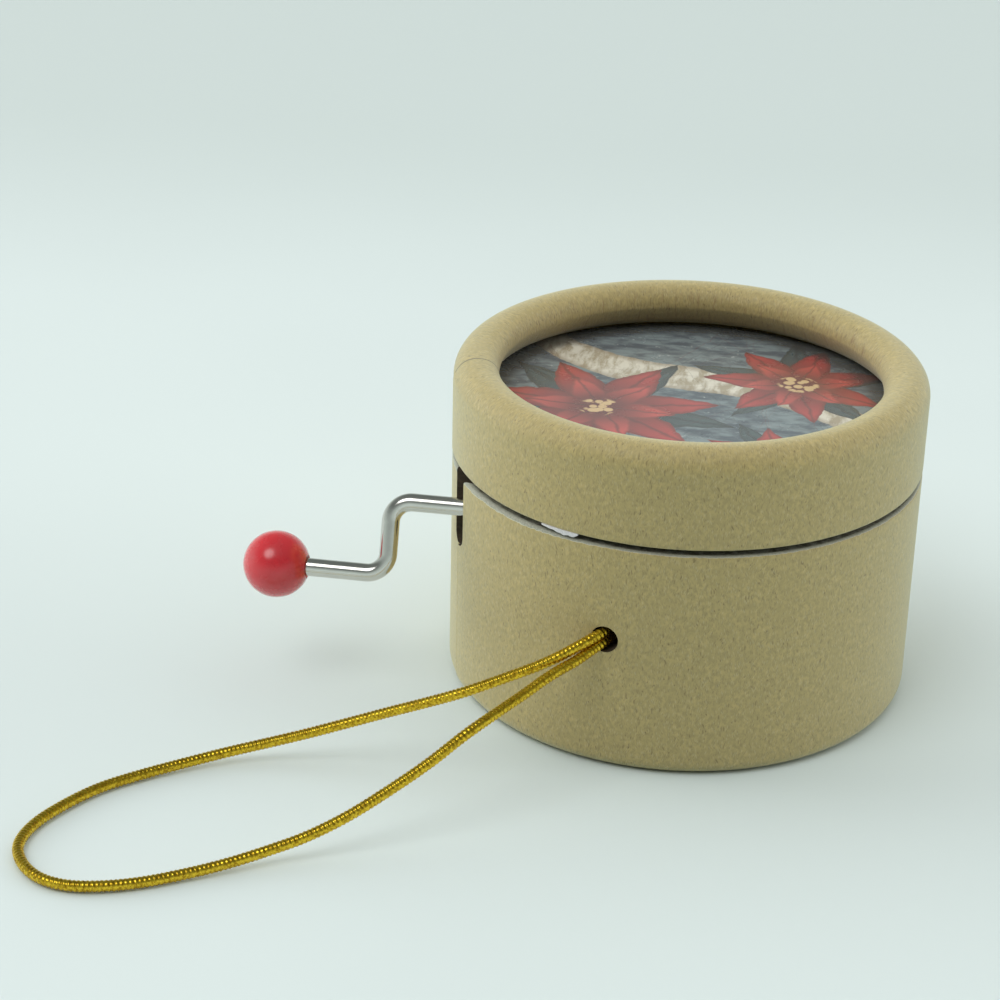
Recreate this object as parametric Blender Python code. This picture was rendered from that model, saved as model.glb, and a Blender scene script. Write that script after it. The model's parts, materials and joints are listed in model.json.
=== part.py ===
"""Hand crank music box: a round cardboard box with a lid, a crank and a musical movement inside.

Metres, +Z up. The origin is on the box's axis, on the plane that it stands on. The crank leaves
the wall towards -X, and the hanging loop leaves it towards -Y.
"""

import math

import bmesh
import bpy
from mathutils import Euler, Matrix, Vector

# Clearances shared by the whole box
CARD_GAP = 0.0003      # between cardboard pieces, and under what rests on cardboard
SEAT_GAP = 0.0002      # between metal or plastic pieces that are screwed or pressed together
RUN_GAP = 0.0003       # beside pieces that turn
SHAFT_GAP = 0.0001     # round a shaft in its bearing
OVERRUN = 0.0020       # how far a cutter runs past what it cuts
SUNK = 0.0004          # how far a fused part of a piece starts inside the rest of it
WELD = 0.0000001       # vertices closer than this are one

# Box
BOX_RADIUS = 0.0260
WALL = 0.0020
COLLAR_THICKNESS = 0.0011
BASE_DISC_THICKNESS = 0.0024
RIM_ABOVE_CRANK = 0.0039   # from the crank's axis up to the base's rim
SEAM_GAP = 0.0006          # between the base's rim and the lid
FOOT_ROUND = 0.0016
EDGE_ROUND = 0.0003
CARD_STEPS = 64

# Lid
LID_HEIGHT = 0.0108
BEAD_OVERHANG = 0.0028     # how far the rolled rim reaches in past the wall
BEAD_DEPTH = 0.0050
PICTURE_THICKNESS = 0.0004
LID_BOARD_THICKNESS = 0.0015
BEAD_TUCK_SHARE = 0.12     # share of the rolled rim's half width that its lower side is drawn back

# Crank
CRANK_REACH = 0.0075       # from the wall out to the arm
CRANK_ARM = 0.00815        # from the crank's axis to the handle's
CRANK_HANDLE = 0.0123      # from the arm out to the knob's centre
CRANK_BEND = 0.0023
CRANK_REST = math.radians(22)   # the arm at rest, from straight down towards -Y
WIRE_RADIUS = 0.0010
KNOB_RADIUS = 0.0037
KNOB_BORE_DEPTH = 0.0052
CRANK_TAIL = 0.0020        # wire past the inner bearing
CLIP_THICKNESS = 0.0005
CLIP_WIDTH = 0.0009        # of its band
CLIP_MOUTH = math.radians(60)

# Slot for the crank
SLOT_SIDE_GAP = 0.00035    # beside the wire
SLOT_BELOW_CRANK = 0.0046
SLOT_CORNER = 0.0007

# Worm and gear
GEAR_TEETH = 24
MODULE = 0.0005
WORM_PITCH_RADIUS = 0.0027
TOOTH_RISE = 0.0004        # above the pitch line, on worm and gear alike
TOOTH_CLEARANCE = 0.00025  # from a tooth's tip to the root that it runs in
BACKLASH = 0.00037         # on the pitch line
PRESSURE_ANGLE = math.radians(20)
THREAD_TURNS = 5
THREAD_STEPS = 16          # in each turn
GEAR_WIDTH = 0.0020
GEAR_FLOOR_GAP = 0.0005    # from the gear down to the screws below it

# Pinned cylinder
DRUM_RADIUS = 0.0062
DRUM_WALL = 0.0009
PIN_HEIGHT = 0.0008
PIN_WIDTH = 0.0004
TRACK_PITCH = 0.0009
DRUM_MARGIN = 0.0011       # from the outer tracks to the drum's ends, at least
PINS_PER_TRACK = 3
PIN_TURN_SHARE = 0.381     # share of a turn from one track's pins to the next track's
FLANGE_THICKNESS = 0.0006
FLANGE_LIP = 0.0003        # the drum stands this far proud of its flanges
SPIGOT_LENGTH = 0.0018
NECK_SHARE = 0.75          # the gear's neck, as a share of the drum's radius
ARBOR_RADIUS = 0.0009
ARBOR_CHAMFER = 0.0002
HUB_WALL = 0.0008
HUB_LENGTH = 0.0007

# Bedplate and crank bracket
BEDPLATE_THICKNESS = 0.0018
BEDPLATE_ROOM = 0.0005     # from the bedplate's corners to the collar
BEDPLATE_TURN = math.radians(40.66)   # from the X axis round to its front corners
BEDPLATE_BACK_INSET = 0.0009   # its back edge is this much nearer to the box's axis than its front
BEDPLATE_CORNER = 0.0015
EAR_THICKNESS = 0.0010
EAR_MARGIN = 0.0018        # metal beside the arbor's bearing
BRACKET_THICKNESS = 0.0009
BRACKET_MARGIN = 0.0009    # metal beside the crank's bearing

# Comb
COMB_THICKNESS = 0.0009
COMB_TIP_GAP = 0.0002      # from the pins' circle to the teeth
COMB_TOOTH_GAP = 0.0002    # from each tooth to the next
COMB_SIDE = 0.0010         # from the outer teeth to the comb's sides
COMB_BODY = 0.0056
COMB_SLANT = 0.0018        # how much longer the lowest note's tooth is than the highest's
COMB_HEEL_MARGIN = 0.0004

# Screws
SMALL_SHANK = 0.0008
SMALL_HEAD = 0.0015
SMALL_HEAD_HEIGHT = 0.0008
COMB_SCREW_DEPTH = 0.0040
LARGE_SHANK = 0.0010
LARGE_HEAD = 0.0020
LARGE_HEAD_HEIGHT = 0.0012
SCREW_SLOT_WIDTH = 0.0004
SLOT_DEPTH_SHARE = 0.5     # of a screw head's height
CROWN_SHARE = 0.75         # the flat on a screw's head, of the head's radius
CROWN_DEPTH_SHARE = 0.35   # the head's slope, of its height
TIP_SHARE = 0.7            # a screw's tip, of its shank's radius
SCREW_BOTTOM_GAP = 0.0004  # from a screw's tip to the end of its bore
SCREW_INSET = 0.0034       # from the bedplate's edges
BRACKET_SCREW_INSET = 0.0033   # from the bracket's cheeks
COMB_SCREW_INSET = 0.0040      # from the comb's sides

# Hanging loop
CORD_RADIUS = 0.0006
CORD_HOLE_RADIUS = 0.0015
CORD_HOLE_HEIGHT = 0.0154
CORD_HOLE_TURN = math.radians(-102.2)
CORD_SPACING = 0.0024
CORD_FINE_STEPS = 24
KNOT_LAP = 0.0006          # how far the knot is wider than the hole, all round
KNOT_LENGTH = 0.0036
KNOT_FACE_SHARE = 0.8      # the flat that rests on the collar, of the knot's radius
KNOT_BULGE_SHARE = 0.8     # the round part, of the knot's length

# The loop's route, from the knot out through the hole, round on the table and back in again
CORD_ROUTE = [
    (-0.00446, -0.02206, 0.01478),
    (-0.00552, -0.02459, 0.01478),
    (-0.00674, -0.02623, 0.01438),
    (-0.00808, -0.02804, 0.01395),
    (-0.00956, -0.02973, 0.01360),
    (-0.01101, -0.03147, 0.01317),
    (-0.01244, -0.03329, 0.01260),
    (-0.01720, -0.03950, 0.01102),
    (-0.02070, -0.04220, 0.00862),
    (-0.02440, -0.04460, 0.00632),
    (-0.02810, -0.04690, 0.00429),
    (-0.03180, -0.04890, 0.00272),
    (-0.03560, -0.05070, 0.00162),
    (-0.03920, -0.05270, 0.00097),
    (-0.04280, -0.05480, 0.00070),
    (-0.04630, -0.05680, 0.00065),
    (-0.04980, -0.05820, 0.00065),
    (-0.05330, -0.05880, 0.00065),
    (-0.05640, -0.05810, 0.00065),
    (-0.05890, -0.05600, 0.00065),
    (-0.06040, -0.05290, 0.00065),
    (-0.06010, -0.04910, 0.00065),
    (-0.05830, -0.04500, 0.00065),
    (-0.05570, -0.04110, 0.00065),
    (-0.05230, -0.03780, 0.00065),
    (-0.04850, -0.03500, 0.00083),
    (-0.04460, -0.03290, 0.00134),
    (-0.04040, -0.03160, 0.00226),
    (-0.03610, -0.03090, 0.00355),
    (-0.03180, -0.03050, 0.00512),
    (-0.02740, -0.03050, 0.00696),
    (-0.02300, -0.03080, 0.00890),
    (-0.01880, -0.03100, 0.01084),
    (-0.01306, -0.02946, 0.01305),
    (-0.01141, -0.02897, 0.01375),
    (-0.00980, -0.02829, 0.01445),
    (-0.00823, -0.02722, 0.01510),
    (-0.00680, -0.02608, 0.01565),
    (-0.00552, -0.02459, 0.01602),
    (-0.00446, -0.02206, 0.01602),
]

# Worm drive, worked out
LEAD = math.pi * MODULE
GEAR_PITCH_RADIUS = GEAR_TEETH * MODULE / 2
TOOTH_FALL = TOOTH_RISE + TOOTH_CLEARANCE
TOOTH_HALF = (LEAD - BACKLASH) / 4   # half of a tooth's thickness on the pitch line
GEAR_TIP = GEAR_PITCH_RADIUS + TOOTH_RISE
GEAR_ROOT = GEAR_PITCH_RADIUS - TOOTH_FALL
WORM_TIP = WORM_PITCH_RADIUS + TOOTH_RISE
WORM_ROOT = WORM_PITCH_RADIUS - TOOTH_FALL
LEAD_SLOPE = LEAD / (2 * math.pi * WORM_PITCH_RADIUS)
FLANK_SLOPE = math.tan(PRESSURE_ANGLE)
TIP_HALF = TOOTH_HALF - TOOTH_RISE * FLANK_SLOPE
ROOT_HALF = TOOTH_HALF + TOOTH_FALL * FLANK_SLOPE

# Sizes that follow the crank's wire and the cylinder's arbor
SLOT_HALF = WIRE_RADIUS + SLOT_SIDE_GAP
BRACKET_WIDTH = 2 * (WIRE_RADIUS + SHAFT_GAP + BRACKET_MARGIN)
HUB_RADIUS = ARBOR_RADIUS + SHAFT_GAP + HUB_WALL
EAR_HALF_WIDTH = ARBOR_RADIUS + SHAFT_GAP + EAR_MARGIN
PIN_CIRCLE = DRUM_RADIUS + PIN_HEIGHT
KNOT_RADIUS = CORD_HOLE_RADIUS + KNOT_LAP
BEAD_WIDTH = WALL + BEAD_OVERHANG

# Heights, from the table up
BEDPLATE_Z = BASE_DISC_THICKNESS + CARD_GAP
BEDPLATE_TOP = BEDPLATE_Z + BEDPLATE_THICKNESS
BRACKET_Z = BEDPLATE_TOP + SEAT_GAP
BRACKET_FLOOR = BRACKET_Z + BRACKET_THICKNESS
CYLINDER_Z = BRACKET_FLOOR + SEAT_GAP + SMALL_HEAD_HEIGHT + GEAR_FLOOR_GAP + GEAR_TIP
CRANK_Z = CYLINDER_Z + GEAR_PITCH_RADIUS + WORM_PITCH_RADIUS
BASE_HEIGHT = CRANK_Z + RIM_ABOVE_CRANK
LID_Z = BASE_HEIGHT + SEAM_GAP
PICTURE_Z = LID_Z + LID_HEIGHT - BEAD_DEPTH - CARD_GAP - PICTURE_THICKNESS
LID_BOARD_Z = PICTURE_Z - CARD_GAP - LID_BOARD_THICKNESS
COLLAR_Z = BASE_DISC_THICKNESS + CARD_GAP
COLLAR_TOP = LID_BOARD_Z - CARD_GAP

# Radii, from the wall in
WALL_BORE = BOX_RADIUS - WALL
DISC_RADIUS = WALL_BORE - CARD_GAP
COLLAR_RADIUS = WALL_BORE - CARD_GAP
COLLAR_BORE = COLLAR_RADIUS - COLLAR_THICKNESS

# Places along Y, from the bedplate's front edge to its back edge
BEDPLATE_REACH = COLLAR_BORE - BEDPLATE_ROOM
BEDPLATE_FRONT = -BEDPLATE_REACH * math.sin(BEDPLATE_TURN)
FRONT_EAR_Y = BEDPLATE_FRONT + EAR_THICKNESS
CRANK_Y = FRONT_EAR_Y + RUN_GAP + max(GEAR_WIDTH, BRACKET_WIDTH) / 2
DRUM_FRONT = CRANK_Y + WORM_TIP + RUN_GAP + FLANGE_THICKNESS + SEAT_GAP
BEDPLATE_BACK = -BEDPLATE_FRONT - BEDPLATE_BACK_INSET
BACK_EAR_Y = BEDPLATE_BACK - EAR_THICKNESS
DRUM_BACK = BACK_EAR_Y - RUN_GAP - HUB_LENGTH - FLANGE_THICKNESS - SEAT_GAP
DRUM_LENGTH = DRUM_BACK - DRUM_FRONT
DRUM_MIDDLE = (DRUM_FRONT + DRUM_BACK) / 2
TRACKS = 1 + int((DRUM_LENGTH - 2 * DRUM_MARGIN) / TRACK_PITCH)

# Places along X, from the crank's side to the comb's heel
BEDPLATE_HALF = BEDPLATE_REACH * math.cos(BEDPLATE_TURN)
BRACKET_HALF = GEAR_TIP + RUN_GAP + SEAT_GAP
CYLINDER_X = -BEDPLATE_HALF + BRACKET_WIDTH / 2 + BRACKET_THICKNESS + BRACKET_HALF
COMB_HEEL = BEDPLATE_HALF - COMB_HEEL_MARGIN
COMB_TIPS = CYLINDER_X + PIN_CIRCLE + COMB_TIP_GAP

FINISHES = {
    "kraft": ((0.56, 0.49, 0.33), 0.85, 0.0),
    "grey_board": ((0.52, 0.50, 0.44), 0.9, 0.0),
    "print": ((0.42, 0.10, 0.10), 0.25, 0.0),
    "zinc": ((0.62, 0.62, 0.60), 0.4, 1.0),
    "steel": ((0.66, 0.66, 0.64), 0.3, 1.0),
    "brass": ((0.75, 0.60, 0.30), 0.3, 1.0),
    "nylon": ((0.85, 0.84, 0.78), 0.5, 0.0),
    "nickel": ((0.78, 0.77, 0.73), 0.15, 1.0),
    "red_gloss": ((0.62, 0.02, 0.04), 0.2, 0.0),
    "gold_cord": ((0.72, 0.52, 0.08), 0.35, 0.8),
}


def clear_scene():
    for item in list(bpy.data.objects):
        bpy.data.objects.remove(item, do_unlink=True)


def finish(name):
    """Return the named material, made once."""
    material = bpy.data.materials.get(name)
    if material is None:
        colour, roughness, metallic = FINISHES[name]
        material = bpy.data.materials.new(name)
        material.use_nodes = True
        shader = material.node_tree.nodes["Principled BSDF"]
        shader.inputs["Base Color"].default_value = (*colour, 1)
        shader.inputs["Roughness"].default_value = roughness
        shader.inputs["Metallic"].default_value = metallic
    return material


def empty(name, location, parent=None):
    axis = bpy.data.objects.new(name, None)
    axis.location = location
    axis.parent = parent
    bpy.context.scene.collection.objects.link(axis)
    return axis


def place(item, parent, location, rotation):
    item.location = location
    item.rotation_euler = rotation
    item.parent = parent
    bpy.context.scene.collection.objects.link(item)
    return item


def solid(name, bm, look, parent=None, location=(0, 0, 0), rotation=(0, 0, 0)):
    """Make an object of a mesh whose faces point out, shaded smooth up to its sharp edges."""
    bmesh.ops.recalc_face_normals(bm, faces=bm.faces)
    mesh = bpy.data.meshes.new(name)
    bm.to_mesh(mesh)
    bm.free()
    mesh.shade_smooth()
    mesh.set_sharp_from_angle(angle=math.radians(35))
    mesh.materials.append(finish(look))
    return place(bpy.data.objects.new(name, mesh), parent, location, rotation)


def combine(piece, tool, operation):
    """Cut a piece by a tool, or fuse the tool to it; the tool itself stays a guide."""
    modifier = piece.modifiers.new(tool.name, "BOOLEAN")
    modifier.operation = operation
    modifier.object = tool
    tool.hide_render = True
    tool.display_type = "WIRE"


def cut(piece, tool):
    combine(piece, tool, "DIFFERENCE")


def fuse(piece, tool):
    combine(piece, tool, "UNION")


def arc(centre, radius, start, end, steps):
    """Points on an arc, in degrees; radius is one value, or one along each axis."""
    wide, high = radius if isinstance(radius, tuple) else (radius, radius)
    points = []
    for step in range(steps + 1):
        angle = math.radians(start + (end - start) * step / steps)
        points.append((centre[0] + wide * math.cos(angle), centre[1] + high * math.sin(angle)))
    return points


def turned(outline, steps):
    """Spin an outline of (radius, height) points about Z. It closes itself, or ends on the axis."""
    bm = bmesh.new()
    verts = [bm.verts.new((radius, 0, height)) for radius, height in outline]
    pairs = list(zip(verts, verts[1:]))
    if outline[0][0] > WELD or outline[-1][0] > WELD:
        pairs.append((verts[-1], verts[0]))
    edges = [bm.edges.new(pair) for pair in pairs]
    bmesh.ops.spin(bm, geom=verts + edges, cent=(0, 0, 0), axis=(0, 0, 1),
                   angle=2 * math.pi, steps=steps, use_merge=True)
    bmesh.ops.remove_doubles(bm, verts=bm.verts, dist=WELD)
    return bm


def slab(outline, low, high):
    """Close an outline in X and Y and give it a thickness from low to high along Z."""
    bm = bmesh.new()
    face = bm.faces.new([bm.verts.new((x, y, low)) for x, y in outline])
    top = bmesh.ops.extrude_face_region(bm, geom=[face])
    raised = [item for item in top["geom"] if isinstance(item, bmesh.types.BMVert)]
    bmesh.ops.translate(bm, verts=raised, vec=(0, 0, high - low))
    return bm


def block(middle, size):
    bm = bmesh.new()
    shape = Matrix.Translation(middle) @ Matrix.Diagonal((*size, 1))
    bmesh.ops.create_cube(bm, size=1, matrix=shape)
    return bm


def rod(radius, low, high, steps=20):
    """A round bar about Z, for pieces and for bores."""
    return slab(arc((0, 0), radius, 0, 360, steps)[:-1], low, high)


def rounded_rectangle(left, right, front, back, radius, steps):
    corners = [
        ((right - radius, front + radius), -90),
        ((right - radius, back - radius), 0),
        ((left + radius, back - radius), 90),
        ((left + radius, front + radius), 180),
    ]
    outline = []
    for centre, start in corners:
        outline += arc(centre, radius, start, start + 90, steps)
    return outline


def arch(half_width, foot, steps):
    """Outline of an upright ear: square at its foot, round about the bore at its origin."""
    return [(-half_width, -foot), (half_width, -foot)] + arc((0, 0), half_width, 0, 180, steps)


def disc_outline(radius, low, high, edge):
    """Half section of a disc with small chamfers."""
    return [
        (0, low),
        (radius - edge, low),
        (radius, low + edge),
        (radius, high - edge),
        (radius - edge, high),
        (0, high),
    ]


def screw(name, parent, seat, depth, shank, head, head_height, flip=False):
    """A pan head screw whose head stands on its seat and whose shank goes down into the bore."""
    top = SEAT_GAP / 2 + head_height
    outline = [
        (0, -depth),
        (shank * TIP_SHARE, -depth),
        (shank, -depth + shank / 2),
        (shank, SEAT_GAP / 2),
        (head, SEAT_GAP / 2),
        (head, top - head_height * CROWN_DEPTH_SHARE),
        (head * CROWN_SHARE, top),
        (0, top),
    ]
    turn = (math.pi, 0, 0) if flip else (0, 0, 0)
    piece = solid(name, turned(outline, 12), "steel", parent, seat, turn)
    slot_depth = head_height * SLOT_DEPTH_SHARE
    slot = block((0, 0, top), (2 * head + OVERRUN, SCREW_SLOT_WIDTH, 2 * slot_depth))
    cut(piece, solid(name + "_slot", slot, "steel", piece))
    return piece


def screw_bore(name, seat, depth, shank, parent=None):
    """Tool for the bore that takes a screw's shank, open above its seat."""
    return solid(name, rod(shank + SEAT_GAP, -depth, OVERRUN, 12), "steel", parent, seat)


def make_base():
    """The outer tube with the crank's slot and the cord's hole, the collar inside, and the disc."""
    foot = min(FOOT_ROUND, WALL - EDGE_ROUND)
    outline = (
        [(WALL_BORE, 0)]
        + arc((BOX_RADIUS - foot, foot), foot, -90, 0, 3)
        + [(BOX_RADIUS, BASE_HEIGHT - EDGE_ROUND), (BOX_RADIUS - EDGE_ROUND, BASE_HEIGHT)]
        + [(WALL_BORE, BASE_HEIGHT)]
    )
    tube = solid("base_tube", turned(outline, CARD_STEPS), "kraft")

    outline = [
        (COLLAR_BORE, COLLAR_Z),
        (COLLAR_RADIUS, COLLAR_Z),
        (COLLAR_RADIUS, COLLAR_TOP - EDGE_ROUND),
        (COLLAR_RADIUS - EDGE_ROUND, COLLAR_TOP),
        (COLLAR_BORE, COLLAR_TOP),
    ]
    collar = solid("base_collar", turned(outline, CARD_STEPS), "grey_board")

    half = SLOT_HALF
    bottom = half - SLOT_BELOW_CRANK
    rim = RIM_ABOVE_CRANK
    above = COLLAR_TOP - CRANK_Z + OVERRUN
    flared = (
        arc((0, bottom), half, 180, 360, 8)
        + arc((half + SLOT_CORNER, rim - SLOT_CORNER), SLOT_CORNER, 180, 90, 3)
        + [(half + SLOT_CORNER, above), (-half - SLOT_CORNER, above)]
        + arc((-half - SLOT_CORNER, rim - SLOT_CORNER), SLOT_CORNER, 90, 0, 3)
    )
    straight = arc((0, bottom), half, 180, 360, 8) + [(half, above), (-half, above)]
    across = (math.pi / 2, 0, -math.pi / 2)
    inside = BOX_RADIUS / 2
    outside = BOX_RADIUS + OVERRUN
    at_crank = (0, CRANK_Y, CRANK_Z)
    cut(tube, solid("tube_slot", slab(flared, inside, outside), "kraft", None, at_crank, across))
    cut(collar, solid("collar_slot", slab(straight, inside, outside), "kraft", None, at_crank, across))

    level = (0, math.pi / 2, CORD_HOLE_TURN)
    hole = rod(CORD_HOLE_RADIUS, inside, outside)
    hole_tool = solid("cord_hole", hole, "kraft", None, (0, 0, CORD_HOLE_HEIGHT), level)
    cut(tube, hole_tool)
    cut(collar, hole_tool)

    outline = disc_outline(DISC_RADIUS, 0, BASE_DISC_THICKNESS, EDGE_ROUND)
    disc = solid("base_disc", turned(outline, CARD_STEPS), "grey_board")
    sink = LARGE_HEAD_HEIGHT + 2 * SEAT_GAP
    for number, (x, y) in enumerate(movement_screw_places(), 1):
        outline = [
            (0, -OVERRUN),
            (LARGE_HEAD + CARD_GAP, -OVERRUN),
            (LARGE_HEAD + CARD_GAP, sink),
            (LARGE_SHANK + CARD_GAP, sink),
            (LARGE_SHANK + CARD_GAP, BASE_DISC_THICKNESS + OVERRUN),
            (0, BASE_DISC_THICKNESS + OVERRUN),
        ]
        cut(disc, solid(f"disc_bore_{number}", turned(outline, 16), "kraft", disc, (x, y, 0)))


def make_lid():
    """The lid: a short tube with a thick rolled rim, the picture under the rim, and its board."""
    lid = empty("lid_lift", (0, 0, LID_Z))
    half = BEAD_WIDTH / 2
    middle = (BOX_RADIUS - half, LID_HEIGHT - BEAD_DEPTH / 2)
    roll = arc(middle, (half, BEAD_DEPTH / 2), 0, 180, 10)
    tuck = half * BEAD_TUCK_SHARE
    under = arc((middle[0], middle[1]), (half - tuck, BEAD_DEPTH / 2), 210, 270, 3)
    outline = (
        [(WALL_BORE, 0), (BOX_RADIUS - EDGE_ROUND, 0), (BOX_RADIUS, EDGE_ROUND)]
        + roll
        + under
        + [(WALL_BORE, LID_HEIGHT - BEAD_DEPTH)]
    )
    solid("lid_tube", turned(outline, CARD_STEPS), "kraft", lid)

    picture = rod(DISC_RADIUS, 0, PICTURE_THICKNESS, CARD_STEPS)
    solid("picture_disc", picture, "print", lid, (0, 0, PICTURE_Z - LID_Z))
    outline = disc_outline(DISC_RADIUS, 0, LID_BOARD_THICKNESS, EDGE_ROUND)
    solid("lid_board", turned(outline, CARD_STEPS), "grey_board", lid, (0, 0, LID_BOARD_Z - LID_Z))


def movement_screw_places():
    """Three of the bedplate's corners."""
    side = BEDPLATE_HALF - SCREW_INSET
    back = BEDPLATE_BACK - SCREW_INSET
    return [(-side, back), (side, back), (side, BEDPLATE_FRONT + SCREW_INSET)]


def bracket_screw_places():
    spread = BRACKET_HALF - BRACKET_SCREW_INSET
    return [(CYLINDER_X + side * spread, CRANK_Y) for side in (-1, 1)]


def comb_screw_places():
    x = COMB_HEEL - COMB_BODY / 2
    spread = comb_side() - COMB_SCREW_INSET
    return [(x, DRUM_MIDDLE + side * spread) for side in (-1, 1)]


def comb_side():
    """Half of the comb's width."""
    return (TRACKS * TRACK_PITCH - COMB_TOOTH_GAP) / 2 + COMB_SIDE


def track_place(track):
    """From the middle of the drum to one of its tracks."""
    return (track - (TRACKS - 1) / 2) * TRACK_PITCH


def make_bedplate():
    """The cast plate, with the two ears that carry the cylinder and the step for the comb."""
    outline = rounded_rectangle(-BEDPLATE_HALF, BEDPLATE_HALF, BEDPLATE_FRONT, BEDPLATE_BACK,
                                BEDPLATE_CORNER, 3)
    plate = solid("bedplate", slab(outline, BEDPLATE_Z, BEDPLATE_TOP), "zinc")

    foot = CYLINDER_Z - BEDPLATE_TOP + SUNK
    upright = (math.pi / 2, 0, 0)
    for name, face in (("front_ear", FRONT_EAR_Y), ("back_ear", BEDPLATE_BACK)):
        ear = slab(arch(EAR_HALF_WIDTH, foot, 10), 0, EAR_THICKNESS)
        fuse(plate, solid(name, ear, "zinc", plate, (CYLINDER_X, face, CYLINDER_Z), upright))

    comb_seat = CYLINDER_Z - COMB_THICKNESS / 2 - SEAT_GAP
    low = BEDPLATE_TOP - SUNK
    middle = (COMB_HEEL - COMB_BODY / 2, DRUM_MIDDLE, (low + comb_seat) / 2)
    step = block(middle, (COMB_BODY, 2 * comb_side(), comb_seat - low))
    fuse(plate, solid("comb_step", step, "zinc", plate))

    bore = rod(ARBOR_RADIUS + SHAFT_GAP, -BOX_RADIUS, BOX_RADIUS)
    cut(plate, solid("arbor_bore", bore, "zinc", plate, (CYLINDER_X, 0, CYLINDER_Z), upright))

    for number, (x, y) in enumerate(movement_screw_places(), 1):
        depth = BEDPLATE_THICKNESS - SCREW_BOTTOM_GAP + SEAT_GAP
        tool = screw_bore(f"plate_bore_{number}", (x, y, BEDPLATE_Z), depth, LARGE_SHANK, plate)
        tool.rotation_euler = (math.pi, 0, 0)
        cut(plate, tool)
    for number, (x, y) in enumerate(bracket_screw_places(), 1):
        depth = BEDPLATE_THICKNESS + OVERRUN
        tool = screw_bore(f"bracket_bore_{number}", (x, y, BEDPLATE_TOP), depth, SMALL_SHANK, plate)
        cut(plate, tool)
    for number, (x, y) in enumerate(comb_screw_places(), 1):
        depth = COMB_SCREW_DEPTH + SCREW_BOTTOM_GAP
        cut(plate, screw_bore(f"comb_bore_{number}", (x, y, comb_seat), depth, SMALL_SHANK, plate))


def make_bracket():
    """The folded steel bracket that carries the crank's shaft on both sides of the worm."""
    length = 2 * (BRACKET_HALF + BRACKET_THICKNESS)
    middle = (CYLINDER_X, CRANK_Y, BRACKET_Z + BRACKET_THICKNESS / 2)
    bracket = solid("crank_bracket", block(middle, (length, BRACKET_WIDTH, BRACKET_THICKNESS)), "steel")

    foot = CRANK_Z - BRACKET_Z
    across = (math.pi / 2, 0, math.pi / 2)
    for name, face in (("outer_cheek", -BRACKET_HALF - BRACKET_THICKNESS), ("inner_cheek", BRACKET_HALF)):
        cheek = slab(arch(BRACKET_WIDTH / 2, foot, 10), 0, BRACKET_THICKNESS)
        place_of_cheek = (CYLINDER_X + face, CRANK_Y, CRANK_Z)
        fuse(bracket, solid(name, cheek, "steel", bracket, place_of_cheek, across))

    bore = rod(WIRE_RADIUS + SHAFT_GAP, -BOX_RADIUS, BOX_RADIUS)
    cut(bracket, solid("shaft_bore", bore, "steel", bracket, (CYLINDER_X, CRANK_Y, CRANK_Z), across))
    for number, (x, y) in enumerate(bracket_screw_places(), 1):
        depth = BRACKET_THICKNESS + OVERRUN
        name = f"strap_bore_{number}"
        cut(bracket, screw_bore(name, (x, y, BRACKET_FLOOR), depth, SMALL_SHANK, bracket))


def make_comb():
    """The steel comb, its teeth longer towards the low notes."""
    side = comb_side()
    body = COMB_HEEL - COMB_BODY
    outline = [(COMB_HEEL, side), (body, side)]
    for track in reversed(range(TRACKS)):
        y = track_place(track)
        root = body - COMB_SLANT * track / TRACKS
        near = y + (TRACK_PITCH - COMB_TOOTH_GAP) / 2
        far = y - (TRACK_PITCH - COMB_TOOTH_GAP) / 2
        outline += [(root, near), (COMB_TIPS, near), (COMB_TIPS, far), (root, far)]
    outline += [(body, -side), (COMB_HEEL, -side)]
    low = CYLINDER_Z - COMB_THICKNESS / 2
    comb = solid("comb", slab(outline, low, low + COMB_THICKNESS), "steel", None, (0, DRUM_MIDDLE, 0))
    for number, (x, y) in enumerate(comb_screw_places(), 1):
        seat = (x, y - DRUM_MIDDLE, low + COMB_THICKNESS)
        depth = COMB_THICKNESS + OVERRUN
        cut(comb, screw_bore(f"comb_hole_{number}", seat, depth, SMALL_SHANK, comb))


def make_screws():
    """Two screws in the bracket, two in the comb, and three from below through the base disc."""
    small = (SMALL_SHANK, SMALL_HEAD, SMALL_HEAD_HEIGHT)
    for number, (x, y) in enumerate(bracket_screw_places(), 1):
        depth = BRACKET_THICKNESS + SEAT_GAP + BEDPLATE_THICKNESS - SCREW_BOTTOM_GAP
        screw(f"bracket_screw_{number}", None, (x, y, BRACKET_FLOOR), depth, *small)
    for number, (x, y) in enumerate(comb_screw_places(), 1):
        seat = (x, y, CYLINDER_Z + COMB_THICKNESS / 2)
        screw(f"comb_screw_{number}", None, seat, COMB_SCREW_DEPTH, *small)
    large = (LARGE_SHANK, LARGE_HEAD, LARGE_HEAD_HEIGHT)
    seat_z = LARGE_HEAD_HEIGHT + 2 * SEAT_GAP
    for number, (x, y) in enumerate(movement_screw_places(), 1):
        depth = BEDPLATE_TOP - SCREW_BOTTOM_GAP - SEAT_GAP - seat_z
        screw(f"movement_screw_{number}", None, (x, y, seat_z), depth, *large, flip=True)


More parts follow.
